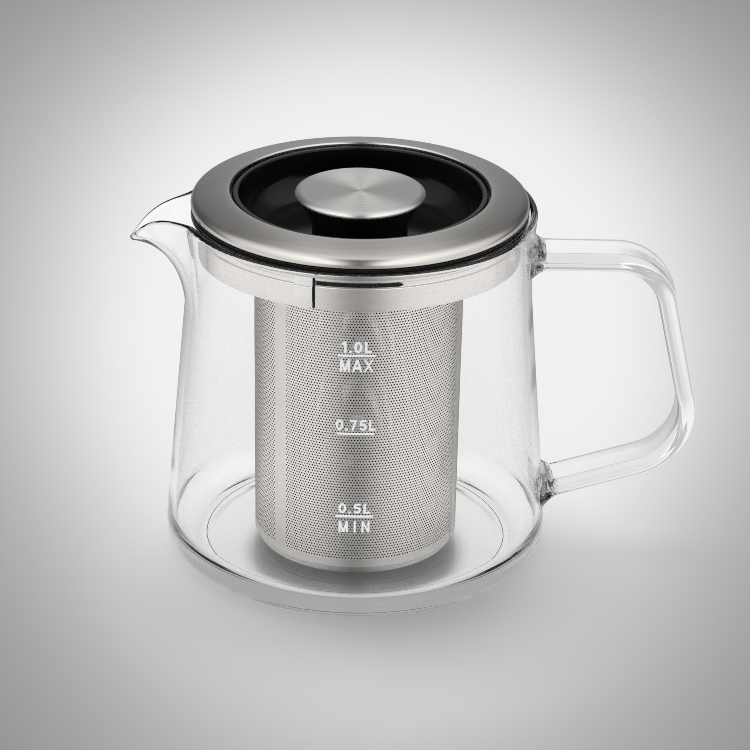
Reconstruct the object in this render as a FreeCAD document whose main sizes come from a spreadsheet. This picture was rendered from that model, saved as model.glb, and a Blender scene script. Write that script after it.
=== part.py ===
import FreeCAD, Part
import math
import os

import Sketcher
from FreeCAD import Placement, Rotation, Vector

# Glass teapot with a lift-out perforated infuser and a lift-off lid.
# The origin is the centre of the glass foot, +Z is up, the spout points to -X and the handle to +X.

os.makedirs("parts", exist_ok=True)
doc = FreeCAD.newDocument("teapot")
sheet = doc.addObject("Spreadsheet::Sheet", "sizes")

# ---------------------------------------------------------------- driving sizes, in millimetres and degrees

SIZES = {
    # glass jug
    "glass": 2.4,
    "belly_radius": 64.9,
    "belly_lean": 4.85,
    "foot_corner": 9,
    "inner_corner": 11,
    "jug_height": 122.1,
    "neck_height": 34.1,
    "neck_curve": 160,
    "spout_patch_angle": 36,
    "spout_half_angle": 18,
    "spout_pull": 16.3,
    "spout_droop": 9.8,
    "spout_shoulder_dip": 2.2,
    "spout_tip_rounding": 0.12,
    # glass handle
    "strap_width": 17,
    "strap_thick": 6.2,
    "strap_corner": 2.6,
    "upper_arm_drop": 15.7,
    "upper_bend_reach": 34.85,
    "upper_bend_radius": 17.8,
    "lower_bend_reach": 50.4,
    "lower_bend_height": 37.5,
    "lower_bend_radius": 22,
    "lower_arm_slope": 17.2,
    "weld_length": 4.4,
    "weld_sink": 3.1,
    "weld_spread": 5,
    "weld_swell": 7.3,
    # infuser
    "sheet": 0.6,
    "fit_gap": 0.3,
    "play": 0.05,
    "lip_depth": 2.2,
    "pan_depth": 11.7,
    "pan_collar_depth": 3,
    "band_gap": 1.25,
    "band_drop": 0.8,
    "band_height": 11,
    "groove_drop": 2.7,
    "groove_width": 2,
    "groove_depth": 0.5,
    "slit_azimuth": 254.7,
    "slit_angle": 0.9,
    "lap_angle": 6.8,
    "lap_height": 8.5,
    "lap_thick": 0.5,
    "basket_top_radius": 35,
    "basket_taper": 0.5,
    "basket_sheet": 0.4,
    "basket_clearance": 0.6,
    "basket_foot_corner": 4.2,
    "basket_joint_rise": 3,
    "basket_overlap": 2.6,
    "seam_azimuth": 343.6,
    "seam_angle": 7.6,
    "seam_thick": 0.3,
    # lid
    "rim_gap": 1.4,
    "rim_overhang": 0.2,
    "rim_width": 13,
    "rim_height": 3.2,
    "rim_sheet": 0.8,
    "rim_round": 2.6,
    "crown_rise": 1.9,
    "recess_turn_down": 2,
    "recess_gap": 0.8,
    "bowl_lip_drop": 1,
    "bowl_depth": 10.5,
    "bowl_curve": 10,
    "bowl_wall": 2,
    "bowl_draft": 1,
    "shoulder_width": 2,
    "carrier_thick": 1.4,
    "carrier_edge": 0.6,
    "spigot_gap": 0.95,
    "spigot_depth": 10,
    "spigot_wall": 1.6,
    "seal_gap": 0.6,
    "seal_lip": 0.9,
    "rib_count": 16,
    "rib_thick": 1.4,
    "rib_depth": 6.5,
    "stem_radius": 15.9,
    "stem_neck": 3,
    "stem_inset": 0.8,
    "stem_flare": 40,
    "stem_edge": 0.7,
    "knob_radius": 21.7,
    "knob_drop": 0.4,
    "knob_thick": 1.9,
    "knob_round": 1.4,
    "knob_bevel": 0.4,
    "screw_radius": 2,
    "screw_length": 11,
    "screw_head_radius": 3.8,
    "screw_head_height": 2.2,
    "washer_radius": 5.4,
    "washer_thick": 0.8,
}

# Sizes that follow from the others, so that what seats on a piece or fits into it moves with it.
FOLLOWING = {
    # where the jug's round foot runs into the straight belly, and the belly into the curve of the neck
    "belly_edge_radius": "belly_radius - foot_corner + foot_corner * cos(belly_lean * 1 deg)",
    "belly_edge_height": "foot_corner + foot_corner * sin(belly_lean * 1 deg)",
    "spout_root_height": "jug_height - neck_height",
    "belly_height": "spout_root_height - belly_edge_height",
    "neck_foot_radius": "belly_edge_radius - belly_height * tan(belly_lean * 1 deg)",
    "neck_centre_radius": "neck_foot_radius + neck_curve * cos(belly_lean * 1 deg)",
    "neck_centre_height": "spout_root_height + neck_curve * sin(belly_lean * 1 deg)",
    "waist_radius": "neck_centre_radius - neck_curve - glass",
    # handle
    "upper_arm_height": "jug_height - upper_arm_drop",
    "upper_bend_x": "belly_radius + upper_bend_reach",
    "lower_bend_x": "belly_radius + lower_bend_reach",
    "weld_reach": "weld_length + weld_sink",
    "weld_width": "strap_width + weld_spread",
    "weld_height": "strap_thick + weld_swell",
    # infuser, which hangs in the neck and stops short of the floor
    "lip_height": "jug_height - lip_depth",
    "pan_floor_height": "lip_height - pan_depth",
    "band_top": "lip_height - band_drop",
    "band_bottom": "band_top - band_height",
    "band_radius": "waist_radius - band_gap - lap_thick",
    "pan_radius": "band_radius - sheet - groove_depth - play",
    "groove_height": "band_top - groove_drop",
    "lap_bottom": "band_top - lap_height",
    "basket_foot": "glass + basket_clearance",
    "basket_foot_radius": "basket_top_radius - basket_taper",
    "basket_joint_height": "basket_foot + basket_joint_rise",
    # lid, whose spigot stands in the pan and whose seal stands in the mouth
    "rim_bottom": "jug_height + rim_gap",
    "seal_bottom": "lip_height + sheet + fit_gap",
    "recess_edge_height": "rim_bottom + rim_height + crown_rise",
    "bowl_lip_height": "recess_edge_height - bowl_lip_drop",
    "bowl_floor_height": "rim_bottom - bowl_depth",
    "spigot_bottom": "rim_bottom - spigot_depth",
    "spigot_radius": "pan_radius - sheet - spigot_gap",
    "knob_top": "recess_edge_height - knob_drop",
    "stem_head_radius": "knob_radius - stem_inset",
}


def enter(row, alias, entry):
    sheet.set(f"A{row}", alias.replace("_", " "))
    sheet.set(f"B{row}", entry)
    sheet.setAlias(f"B{row}", alias)


for row, (alias, amount) in enumerate(SIZES.items(), start=1):
    enter(row, alias, str(amount))
for row, (alias, formula) in enumerate(FOLLOWING.items(), start=len(SIZES) + 1):
    enter(row, alias, f"={formula}")
doc.recompute()


class Size:
    """A length or angle that knows both its value and the expression over the sheet that gives it."""

    def __init__(self, value, text):
        self.value = value
        self.text = text

    @staticmethod
    def of(other):
        return other if isinstance(other, Size) else Size(float(other), str(other))

    def joined(self, other, sign, value):
        return Size(value, f"({self.text} {sign} {Size.of(other).text})")

    def __add__(self, other):
        return self.joined(other, "+", self.value + Size.of(other).value)

    def __sub__(self, other):
        return self.joined(other, "-", self.value - Size.of(other).value)

    def __mul__(self, other):
        return self.joined(other, "*", self.value * Size.of(other).value)

    def __truediv__(self, other):
        return self.joined(other, "/", self.value / Size.of(other).value)

    def __neg__(self):
        return Size(-self.value, f"(0 - {self.text})")


def cosine(degrees):
    return Size(math.cos(math.radians(degrees.value)), f"cos({degrees.text} * 1 deg)")


def sine(degrees):
    return Size(math.sin(math.radians(degrees.value)), f"sin({degrees.text} * 1 deg)")


def tangent(degrees):
    return Size(math.tan(math.radians(degrees.value)), f"tan({degrees.text} * 1 deg)")


def square_root(amount):
    return Size(math.sqrt(amount.value), f"sqrt({amount.text})")


def size(alias):
    return Size(float(sheet.get(alias)), f"sizes.{alias}")


def number(alias):
    return float(sheet.get(alias))


# ---------------------------------------------------------------- sketch and feature helpers

UP = Vector(0, 0, 1)
TINY = 1e-6


def bind(thing, prop, amount):
    """Sets a property now and ties it to the sheet."""
    thing.setExpression(prop, Size.of(amount).text)


def new_body(label):
    body = doc.addObject("PartDesign::Body", label)
    body.Label = label
    return body


def plane_of(body, role):
    return next(feature for feature in body.Origin.OriginFeatures if feature.Role == role)


def new_sketch(body, name, role, offset=None):
    sketch = body.newObject("Sketcher::SketchObject", name)
    sketch.AttachmentSupport = [(plane_of(body, role), "")]
    sketch.MapMode = "FlatFace"
    if offset is not None:
        sketch.AttachmentOffset = offset
    return sketch


def pin(sketch, geometry, point, direction, amount):
    """Fixes one coordinate of a vertex of the sketch at an expression over the sheet."""
    if abs(Size.of(amount).value) < TINY and not isinstance(amount, Size):
        axis = -2 if direction == "DistanceX" else -1
        sketch.addConstraint(Sketcher.Constraint("PointOnObject", geometry, point, axis))
        return
    held = sketch.addConstraint(Sketcher.Constraint(direction, -1, 1, geometry, point, Size.of(amount).value))
    if isinstance(amount, Size):
        sketch.setExpression(f"Constraints[{held}]", amount.text)


def arc_between(start, end, radius, side):
    """The arc from start to end, bulging to the left (side 1) or the right (side -1) of the way there."""
    chord = end - start
    middle = (start + end) * 0.5
    left = Vector(-chord.y, chord.x, 0).normalize()
    sagitta_leg = math.sqrt(max(radius**2 - (chord.Length / 2) ** 2, 0))
    centre = middle - left * side * sagitta_leg
    crown = centre + left * side * radius
    return Part.Arc(start, crown, end)


def closed_outline(sketch, corners):
    """Draws a closed outline. A corner is (x, y), or (x, y, radius, side) where an arc leads to the next."""
    places = [Vector(Size.of(c[0]).value, Size.of(c[1]).value, 0) for c in corners]
    ends = []
    for i, corner in enumerate(corners):
        start = places[i]
        end = places[(i + 1) % len(places)]
        if len(corner) == 2:
            index = sketch.addGeometry(Part.LineSegment(start, end), False)
            ends.append((index, 1, 2))
            continue
        radius, side = corner[2], corner[3]
        arc = arc_between(start, end, Size.of(radius).value, side)
        index = sketch.addGeometry(arc, False)
        begins_here = (sketch.getPoint(index, 1) - start).Length < (sketch.getPoint(index, 2) - start).Length
        ends.append((index, 1, 2) if begins_here else (index, 2, 1))
        held = sketch.addConstraint(Sketcher.Constraint("Radius", index, Size.of(radius).value))
        sketch.setExpression(f"Constraints[{held}]", Size.of(radius).text)
    for i, (index, _, last) in enumerate(ends):
        following, first, _ = ends[(i + 1) % len(ends)]
        sketch.addConstraint(Sketcher.Constraint("Coincident", index, last, following, first))
    for corner, (index, first, _) in zip(corners, ends):
        pin(sketch, index, first, "DistanceX", corner[0])
        pin(sketch, index, first, "DistanceY", corner[1])


def revolved(body, name, corners, angle=None, start=0):
    """A ring or a disc: an upright outline of (radius, height) corners turned about Z, from an azimuth on."""
    upright = Placement(Vector(), Rotation(Vector(0, 1, 0), start))
    sketch = new_sketch(body, f"{name}_profile", "XZ_Plane", upright)
    closed_outline(sketch, corners)
    ring = body.newObject("PartDesign::Revolution", name)
    ring.Profile = sketch
    ring.ReferenceAxis = (sketch, ["V_Axis"])
    ring.Angle = 360
    if angle is not None:
        bind(ring, "Angle", angle)
    doc.recompute()
    return ring


def plain_piece(label, shape):
    piece = doc.addObject("Part::Feature", label)
    piece.Label = label
    piece.Shape = shape
    return piece


# ---------------------------------------------------------------- glass jug with a pulled spout

PATCH_STEPS = 8
NECK_STEPS = 6
LIP_STEPS = 6
JOIN_TOLERANCE = 0.002
SPARE = 2  # points past each edge of the spout's sector, cut off again, which keep its edges true arcs


def on_arc(centre, radius, degrees):
    """A (radius, height) point on an arc of the profile."""
    turn = math.radians(degrees)
    return (centre[0] + radius * math.cos(turn), centre[1] + radius * math.sin(turn))


def foot_centre():
    return (number("belly_radius") - number("foot_corner"), number("foot_corner"))


def inner_corner_centre():
    """Centre of the arc between the jug's floor and the inside of its leaning belly."""
    lean = math.radians(number("belly_lean"))
    spare = number("inner_corner") + number("glass") - number("foot_corner")
    radius = foot_centre()[0] - spare * (1 + math.sin(lean)) / math.cos(lean)
    return (radius, number("glass") + number("inner_corner"))


def foot_arc(inset):
    """Centre and radius of the round foot, outside or inside."""
    if inset:
        return inner_corner_centre(), number("inner_corner")
    return foot_centre(), number("foot_corner")


def belly_edge(inset):
    """Where the round foot runs into the straight, slightly leaning belly."""
    centre, radius = foot_arc(inset)
    return on_arc(centre, radius, number("belly_lean"))


def neck_foot(inset):
    """Where the straight belly runs into the hollow curve of the neck."""
    lean = math.radians(number("belly_lean"))
    radius = number("neck_foot_radius") - inset * math.cos(lean)
    return (radius, number("spout_root_height") - inset * math.sin(lean))


def neck_centre():
    return (number("neck_centre_radius"), number("neck_centre_height"))


def lip_angle():
    """Direction, from the centre of the neck's curve, in which the wall ends at the lip."""
    rise = number("jug_height") - number("glass") / 2 - neck_centre()[1]
    return 180 - math.degrees(math.asin(rise / number("neck_curve")))


def with_spares(steps):
    return range(-SPARE, steps + SPARE + 1)


def neck_profile():
    """Outside of the plain neck as (radius, height), from the spout's root up to the lip."""
    first = 180 + number("belly_lean")
    last = lip_angle()
    turns = [first + (last - first) * i / NECK_STEPS for i in with_spares(NECK_STEPS)]
    return [on_arc(neck_centre(), number("neck_curve"), turn) for turn in turns]


def spout_share(azimuth, height_share):
    """How far the wall is pulled out (0 to 1) at an angle from the spout, a beak that widens below."""
    rounding = number("spout_tip_rounding") + 0.5 * max(1 - height_share, 0)
    half_angle = number("spout_half_angle") * (1 + 0.35 * (1 - height_share))
    share = abs(azimuth) / half_angle
    if share >= 1:
        return 0
    softened = (math.hypot(share, rounding) - rounding) / (math.hypot(1, rounding) - rounding)
    return (1 - softened) ** 1.6


def pulled(azimuth, radius, height):
    """A point of the jug's outside, moved out and down where the glass is pulled into the spout."""
    root = number("spout_root_height")
    lip = number("jug_height") - number("glass") / 2
    share = max((height - root) / (lip - root), 0)
    pull = spout_share(azimuth, share)
    shoulder = math.exp(-((azimuth / (number("spout_half_angle") + 2)) ** 4))
    radius = radius + number("spout_pull") * pull * share**1.6
    height = height - number("spout_droop") * pull**3 * share**2.56
    height = height - number("spout_shoulder_dip") * shoulder * share**2.5
    turn = math.radians(180 + azimuth)
    return Vector(radius * math.cos(turn), radius * math.sin(turn), height)


def patch_azimuths():
    """Angles across the spout, closest together at its middle."""
    edge = number("spout_patch_angle")
    half = [edge * (i / PATCH_STEPS) ** 1.2 for i in range(PATCH_STEPS + SPARE + 1)]
    return [-a for a in reversed(half)] + half[1:]


def wall_frame(azimuth, radius, height):
    """A point of the jug's outside with its outward normal and the direction of the wall towards the lip."""
    step = 0.05
    slope = -math.tan(math.asin((neck_centre()[1] - height) / number("neck_curve")))
    place = pulled(azimuth, radius, height)
    around = pulled(azimuth + step, radius, height) - pulled(azimuth - step, radius, height)
    onward = (place - pulled(azimuth, radius - slope * step, height - step)).normalize()
    return place, around.cross(onward).normalize(), onward


def spout_rows():
    """Rows of points across the spout: the outside going up, round the lip, and the inside going down."""
    azimuths = patch_azimuths()
    half_glass = number("glass") / 2
    frames = [[wall_frame(azimuth, r, z) for azimuth in azimuths] for r, z in neck_profile()]
    outside = [[place for place, _, _ in row] for row in frames]
    inside = [[place - normal * 2 * half_glass for place, normal, _ in row] for row in frames]
    lip = []
    for i in with_spares(LIP_STEPS):
        turn = math.pi * i / LIP_STEPS
        inwards = half_glass * (1 - math.cos(turn))
        ahead = half_glass * math.sin(turn)
        top = frames[SPARE + NECK_STEPS]
        lip.append([place - normal * inwards + onward * ahead for place, normal, onward in top])
    return outside, lip, inside[::-1]


def curve_through(points, parameters):
    curve = Part.BSplineCurve()
    curve.interpolate(Points=points, Parameters=parameters)
    return curve


def surface_through(rows, across):
    """The smooth surface through rows of points, where every row has the same parameters across."""
    along = [i / (len(rows) - 1) for i in range(len(rows))]
    row_curves = [curve_through(row, across) for row in rows]
    columns = zip(*[curve.getPoles() for curve in row_curves])
    column_curves = [curve_through(list(column), along) for column in columns]
    surface = Part.BSplineSurface()
    surface.buildFromPolesMultsKnots(
        [curve.getPoles() for curve in column_curves],
        row_curves[0].getMultiplicities(),
        column_curves[0].getMultiplicities(),
        row_curves[0].getKnots(),
        column_curves[0].getKnots(),
        False,
        False,
        row_curves[0].Degree,
        column_curves[0].Degree,
    )
    across_knots = row_curves[0].getKnots()
    along_knots = column_curves[0].getKnots()
    last = -1 - SPARE
    surface.segment(across_knots[SPARE], across_knots[last], along_knots[SPARE], along_knots[last])
    return surface.toShape()


def spout_patch():
    """The pulled sector of the wall: its outside, its lip and its inside."""
    azimuths = patch_azimuths()
    across = [(azimuth - azimuths[0]) / (azimuths[-1] - azimuths[0]) for azimuth in azimuths]
    return [surface_through(rows, across) for rows in spout_rows()]


def upright_arc(centre, radius, first, last):
    """An arc of the profile, in the XZ plane."""
    ends = [on_arc(centre, radius, turn) for turn in (first, (first + last) / 2, last)]
    return Part.Arc(*[Vector(r, 0, z) for r, z in ends]).toShape()


def plain_profile():
    """The jug wall as lines and arcs in the XZ plane: up the outside, over the lip and down the inside."""
    glass = number("glass")
    lean = number("belly_lean")
    curve = number("neck_curve")
    top = lip_angle()
    edges = lower_profile()
    edges.append(upright_arc(neck_centre(), curve, 180 + lean, top))
    lip_centre = on_arc(neck_centre(), curve + glass / 2, top)
    edges.append(upright_arc(lip_centre, glass / 2, top - 180, top))
    edges.append(upright_arc(neck_centre(), curve + glass, top, 180 + lean))
    return edges


def lower_profile():
    """Round foot and straight belly, outside and inside, up to the root of the spout."""
    edges = []
    for inset in (0, number("glass")):
        centre, radius = foot_arc(inset)
        edges.append(upright_arc(centre, radius, -90, number("belly_lean")))
        ends = [belly_edge(inset), neck_foot(inset)]
        edges.append(Part.makeLine(*[Vector(r, 0, z) for r, z in ends]))
    return edges


def turned(edges, start, angle):
    """Surfaces swept by the edges about Z, from an azimuth and through an angle."""
    faces = []
    for edge in edges:
        swept = edge.revolve(Vector(), UP, angle)
        swept.rotate(Vector(), UP, start)
        faces += swept.Faces
    return faces


def flat_disc(inset):
    """The flat foot of the jug or its floor, its edge split where the spout's sector begins and ends."""
    centre, _ = foot_arc(inset)
    circle = Part.Circle(Vector(0, 0, inset), UP, centre[0])
    first = math.radians(180 - number("spout_patch_angle"))
    last = math.radians(180 + number("spout_patch_angle"))
    arcs = [circle.toShape(first, last), circle.toShape(last, first + 2 * math.pi)]
    return Part.Face(Part.Wire(arcs))


def jug_solid():
    """One wall of even thickness: a turned jug, and a sector drawn out at the lip into a drooping beak."""
    sector = 2 * number("spout_patch_angle")
    first = 180 - number("spout_patch_angle")
    faces = spout_patch() + turned(lower_profile(), first, sector)
    faces += turned(plain_profile(), first + sector, 360 - sector)
    faces += [flat_disc(0), flat_disc(number("glass"))]
    joined, _ = faces[0].generalFuse(faces[1:], JOIN_TOLERANCE)
    shell = Part.makeShell(joined.Faces)
    shell.sewShape()
    return Part.makeSolid(shell)


def filled_jug():
    """The jug as if it were solid glass, without its spout: what the handle's welds are cut back to."""
    outside = [plain_profile()[i] for i in (0, 1, 4)]
    top = outside[-1].Vertexes[-1].Point
    bottom = outside[0].Vertexes[0].Point
    edges = outside + [
        Part.makeLine(top, Vector(0, 0, top.z)),
        Part.makeLine(Vector(0, 0, top.z), Vector(0, 0, 0)),
        Part.makeLine(Vector(0, 0, 0), bottom),
    ]
    profile = Part.Face(Part.Wire(Part.sortEdges(edges)[0]))
    return profile.revolve(Vector(), UP, 360)


def neck_radius(height, inset):
    """Radius of the neck at a height: of its outside, or of its inside with the wall as the inset."""
    reach = size("neck_curve") + inset
    rise = height - size("neck_centre_height")
    return size("neck_centre_radius") - square_root(reach * reach - rise * rise)


def seal_radius():
    return neck_radius(size("seal_bottom"), size("glass")) - size("seal_gap")


def rim_radius():
    return seal_radius() + size("rim_overhang")


def recess_radius():
    return rim_radius() - size("rim_width")


def bowl_radius():
    return recess_radius() - size("recess_gap") - size("shoulder_width")


# ---------------------------------------------------------------- glass handle


def upper_bend():
    return size("upper_bend_x"), size("upper_arm_height")


def lower_bend():
    return size("lower_bend_x"), size("lower_bend_height")


def flat_point(place):
    """A (x, height) pair of sizes as a point of a sketch."""
    return Vector(place[0].value, place[1].value, 0)


def rounded_bend(before, bend, after, radius):
    """The arc of this radius that rounds a bend between two straight runs."""
    back = (before - bend).normalize()
    onward = (after - bend).normalize()
    half_turn = back.getAngle(onward) / 2
    leg = radius / math.tan(half_turn)
    middle = (back + onward).normalize()
    crown = bend + middle * (radius / math.sin(half_turn) - radius)
    return Part.Arc(bend + back * leg, crown, bend + onward * leg)


def end_at(sketch, index, place):
    """Which end of an arc (1 or 2) lies at this place."""
    gaps = [(sketch.getPoint(index, which) - place).Length for which in (1, 2)]
    return 1 if gaps[0] < gaps[1] else 2


def handle_path(body):
    """Centre line of the handle: a level arm, a bend, a leaning grip, a bend and a sloping arm back."""
    path = new_sketch(body, "handle_path", "XZ_Plane")
    ends_and_bends = (upper_end(), upper_bend(), lower_bend(), lower_end())
    start, upper, lower, end = [flat_point(place) for place in ends_and_bends]
    bends = [
        rounded_bend(start, upper, lower, number("upper_bend_radius")),
        rounded_bend(upper, lower, end, number("lower_bend_radius")),
    ]
    places = [start]
    for bend in bends:
        places += [bend.StartPoint, bend.EndPoint]
    places.append(end)
    lines = [path.addGeometry(Part.LineSegment(places[i], places[i + 1]), False) for i in (0, 2, 4)]
    arcs = [path.addGeometry(bend, False) for bend in bends]
    for i, arc in enumerate(arcs):
        for line, which, place in ((lines[i], 2, places[2 * i + 1]), (lines[i + 1], 1, places[2 * i + 2])):
            path.addConstraint(Sketcher.Constraint("Tangent", line, which, arc, end_at(path, arc, place)))
    for arc, alias in zip(arcs, ("upper_bend_radius", "lower_bend_radius")):
        held = path.addConstraint(Sketcher.Constraint("Radius", arc, number(alias)))
        path.setExpression(f"Constraints[{held}]", size(alias).text)
    path.addConstraint(Sketcher.Constraint("Horizontal", lines[0]))
    pin(path, lines[0], 1, "DistanceX", upper_end()[0])
    pin(path, lines[0], 1, "DistanceY", upper_end()[1])
    pin(path, lines[2], 2, "DistanceX", lower_end()[0])
    pin(path, lines[2], 2, "DistanceY", lower_end()[1])
    marks = []
    for place in (upper_bend(), lower_bend()):
        mark = path.addGeometry(Part.Point(flat_point(place)), True)
        pin(path, mark, 1, "DistanceX", place[0])
        pin(path, mark, 1, "DistanceY", place[1])
        path.addConstraint(Sketcher.Constraint("PointOnObject", mark, 1, lines[1]))
        marks.append(mark)
    path.addConstraint(Sketcher.Constraint("PointOnObject", marks[1], 1, lines[2]))
    return path


def strap_section(body, name, place, tilt, width, height, corner):
    """A rounded rectangle across the strap, at (x, height), its plane tilted about Y."""
    offset = Placement(Vector(0, place[1].value, place[0].value), Rotation(Vector(1, 0, 0), tilt.value))
    sketch = new_sketch(body, name, "YZ_Plane", offset)
    sketch.setExpression(".AttachmentOffset.Base.z", place[0].text)
    sketch.setExpression(".AttachmentOffset.Base.y", place[1].text)
    half = width / 2
    rise = height / 2
    corners = [
        (half - corner, -rise, corner, -1),
        (half, corner - rise),
        (half, rise - corner, corner, -1),
        (half - corner, rise),
        (corner - half, rise, corner, -1),
        (-half, rise - corner),
        (-half, corner - rise, corner, -1),
        (corner - half, -rise),
    ]
    closed_outline(sketch, corners)
    return sketch


def upper_end():
    """Where the strap's centre line starts, at the upper weld."""
    height = size("upper_arm_height")
    return neck_radius(height, Size.of(0)) + size("weld_length"), height


def lower_end():
    """Where the strap's centre line ends, at the lower weld: a weld's length from the leaning belly."""
    lean = tangent(size("belly_lean"))
    slope = tangent(size("lower_arm_slope"))
    at_axis = size("lower_bend_height") - size("lower_bend_x") * slope
    above_edge = at_axis - size("belly_edge_height")
    end_x = (size("belly_edge_radius") + size("weld_length") - above_edge * lean) / (slope * lean + 1)
    return end_x, at_axis + end_x * slope


def handle_bar():
    """Flattened solid glass strap, bent to a rounded grip."""
    body = new_body("handle_bar")
    path = handle_path(body)
    sizes = (size("strap_width"), size("strap_thick"), size("strap_corner"))
    section = strap_section(body, "handle_section", upper_end(), Size.of(0), *sizes)
    bar = body.newObject("PartDesign::AdditivePipe", "handle_sweep")
    bar.Profile = section
    bar.Spine = (path, [])
    doc.recompute()
    return body


WELD_ROUNDNESS = 0.4  # how much of its added height a weld gives to its corners
WELD_STEPS = ((0, 0), (0.22, 0.1), (0.5, 0.5), (1, 1))  # share of the weld's reach, share of its spread there


def weld(label, end, tilt, blank):
    """Where the strap is fused to the jug: it swells towards the wall and ends on the glass."""
    body = new_body(f"{label}_blank")
    sections = []
    for step, (share, spread) in enumerate(WELD_STEPS):
        reach = size("weld_reach") * share
        place = (end[0] - reach * cosine(tilt), end[1] + reach * sine(tilt))
        width = size("strap_width") + (size("weld_width") - size("strap_width")) * spread
        height = size("strap_thick") + (size("weld_height") - size("strap_thick")) * spread
        corner = size("strap_corner") + (height - size("strap_thick")) * WELD_ROUNDNESS
        sections.append(strap_section(body, f"{label}_section_{step}", place, tilt, width, height, corner))
    loft = body.newObject("PartDesign::AdditiveLoft", f"{label}_loft")
    loft.Profile = sections[0]
    loft.Sections = sections[1:]
    doc.recompute()
    cut = doc.addObject("Part::Cut", label)
    cut.Label = label
    cut.Base = body
    cut.Tool = blank
    doc.recompute()
    return cut


# ---------------------------------------------------------------- infuser


def basket_radius(height):
    """Outer radius of the slightly tapered basket at a height."""
    spread = size("basket_top_radius") - size("basket_foot_radius")
    tall = size("pan_floor_height") - size("basket_foot")
    return size("basket_foot_radius") + spread / tall * (height - size("basket_foot"))


def infuser_pan():
    """Shallow steel pan that hangs by its lip in the jug's mouth and carries the basket."""
    body = new_body("infuser_pan")
    sheet_steel = size("sheet")
    floor = size("pan_floor_height")
    lip = size("lip_height")
    reach = neck_radius(lip, size("glass")) - size("fit_gap")
    collar_foot = floor - size("pan_collar_depth")
    collar = basket_radius(collar_foot) - size("basket_sheet") - size("play")
    wall = size("pan_radius")
    revolved(
        body,
        "pan",
        [
            (collar - sheet_steel, collar_foot),
            (collar, collar_foot),
            (collar, floor),
            (wall, floor),
            (wall, lip),
            (reach, lip),
            (reach, lip + sheet_steel),
            (wall - sheet_steel, lip + sheet_steel),
            (wall - sheet_steel, floor + sheet_steel),
            (collar - sheet_steel, floor + sheet_steel),
        ],
    )
    return body


def collar_band():
    """Split spring band round the pan, with a pressed groove near its top."""
    body = new_body("collar_band")
    outer = size("band_radius")
    inner = outer - size("sheet")
    half = size("groove_width") / 2
    depth = size("groove_depth")
    low = size("groove_height") - half
    high = size("groove_height") + half
    ring = [
        (inner, size("band_bottom")),
        (outer, size("band_bottom")),
        (outer, low),
        (outer - depth, low + depth),
        (outer - depth, high - depth),
        (outer, high),
        (outer, size("band_top")),
        (inner, size("band_top")),
        (inner, high),
        (inner - depth, high - depth),
        (inner - depth, low + depth),
        (inner, low),
    ]
    start = number("slit_azimuth") + number("slit_angle") / 2
    revolved(body, "band", ring, Size.of(360) - size("slit_angle"), start)
    return body


def collar_lap_plate():
    """Plate fixed on one end of the band, beside its slit."""
    body = new_body("collar_lap_plate")
    inner = size("band_radius")
    outer = inner + size("lap_thick")
    plate = [
        (inner, size("lap_bottom")),
        (outer, size("lap_bottom")),
        (outer, size("band_top")),
        (inner, size("band_top")),
    ]
    start = number("slit_azimuth") - number("slit_angle") / 2 - number("lap_angle")
    revolved(body, "plate", plate, size("lap_angle"), start)
    return body


def basket_wall():
    """Tapered tube of perforated sheet, with the raised lap where its ends are joined."""
    body = new_body("basket_wall")
    thin = size("basket_sheet")
    foot = size("basket_joint_height")
    top = size("pan_floor_height")
    tube = [
        (basket_radius(foot) - thin, foot),
        (basket_radius(foot), foot),
        (basket_radius(top), top),
        (basket_radius(top) - thin, top),
    ]
    revolved(body, "tube", tube)
    lap = [
        (basket_radius(foot) - thin / 2, foot),
        (basket_radius(foot) + size("seam_thick"), foot),
        (basket_radius(top) + size("seam_thick"), top),
        (basket_radius(top) - thin / 2, top),
    ]
    start = number("seam_azimuth") - number("seam_angle") / 2
    revolved(body, "seam", lap, size("seam_angle"), start)
    return body


def basket_bottom():
    """Pressed cup whose skirt stands inside the foot of the basket wall."""
    body = new_body("basket_bottom")
    thin = size("basket_sheet")
    skirt_top = size("basket_joint_height") + size("basket_overlap")
    outer = basket_radius(size("basket_joint_height")) - thin - size("play")
    foot = size("basket_foot")
    corner = size("basket_foot_corner")
    cup = [
        (0, foot),
        (outer - corner, foot, corner, -1),
        (outer, foot + corner),
        (outer, skirt_top),
        (outer - thin, skirt_top),
        (outer - thin, foot + corner, corner - thin, 1),
        (outer - corner, foot + thin),
        (0, foot + thin),
    ]
    revolved(body, "cup", cup)
    return body


# ---------------------------------------------------------------- lid


def lid_rim():
    """Pressed steel ring of the lid: a low crown, a well rounded outer edge and an inner edge turned down."""
    body = new_body("lid_rim")
    thin = size("rim_sheet")
    outer = rim_radius()
    bottom = size("rim_bottom")
    top = bottom + size("rim_height")
    bend = size("rim_round")
    inner = recess_radius()
    peak = size("recess_edge_height")
    ring = [
        (outer, bottom),
        (outer, top - bend, bend, -1),
        (outer - bend, top),
        (inner + thin, peak),
        (inner, peak - thin),
        (inner, peak - size("recess_turn_down")),
        (inner + thin, peak - size("recess_turn_down")),
        (inner + thin, peak - thin),
        (outer - bend, top - thin, bend - thin, 1),
        (outer - thin, top - bend),
        (outer - thin, bottom),
    ]
    revolved(body, "ring", ring)
    return body


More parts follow.
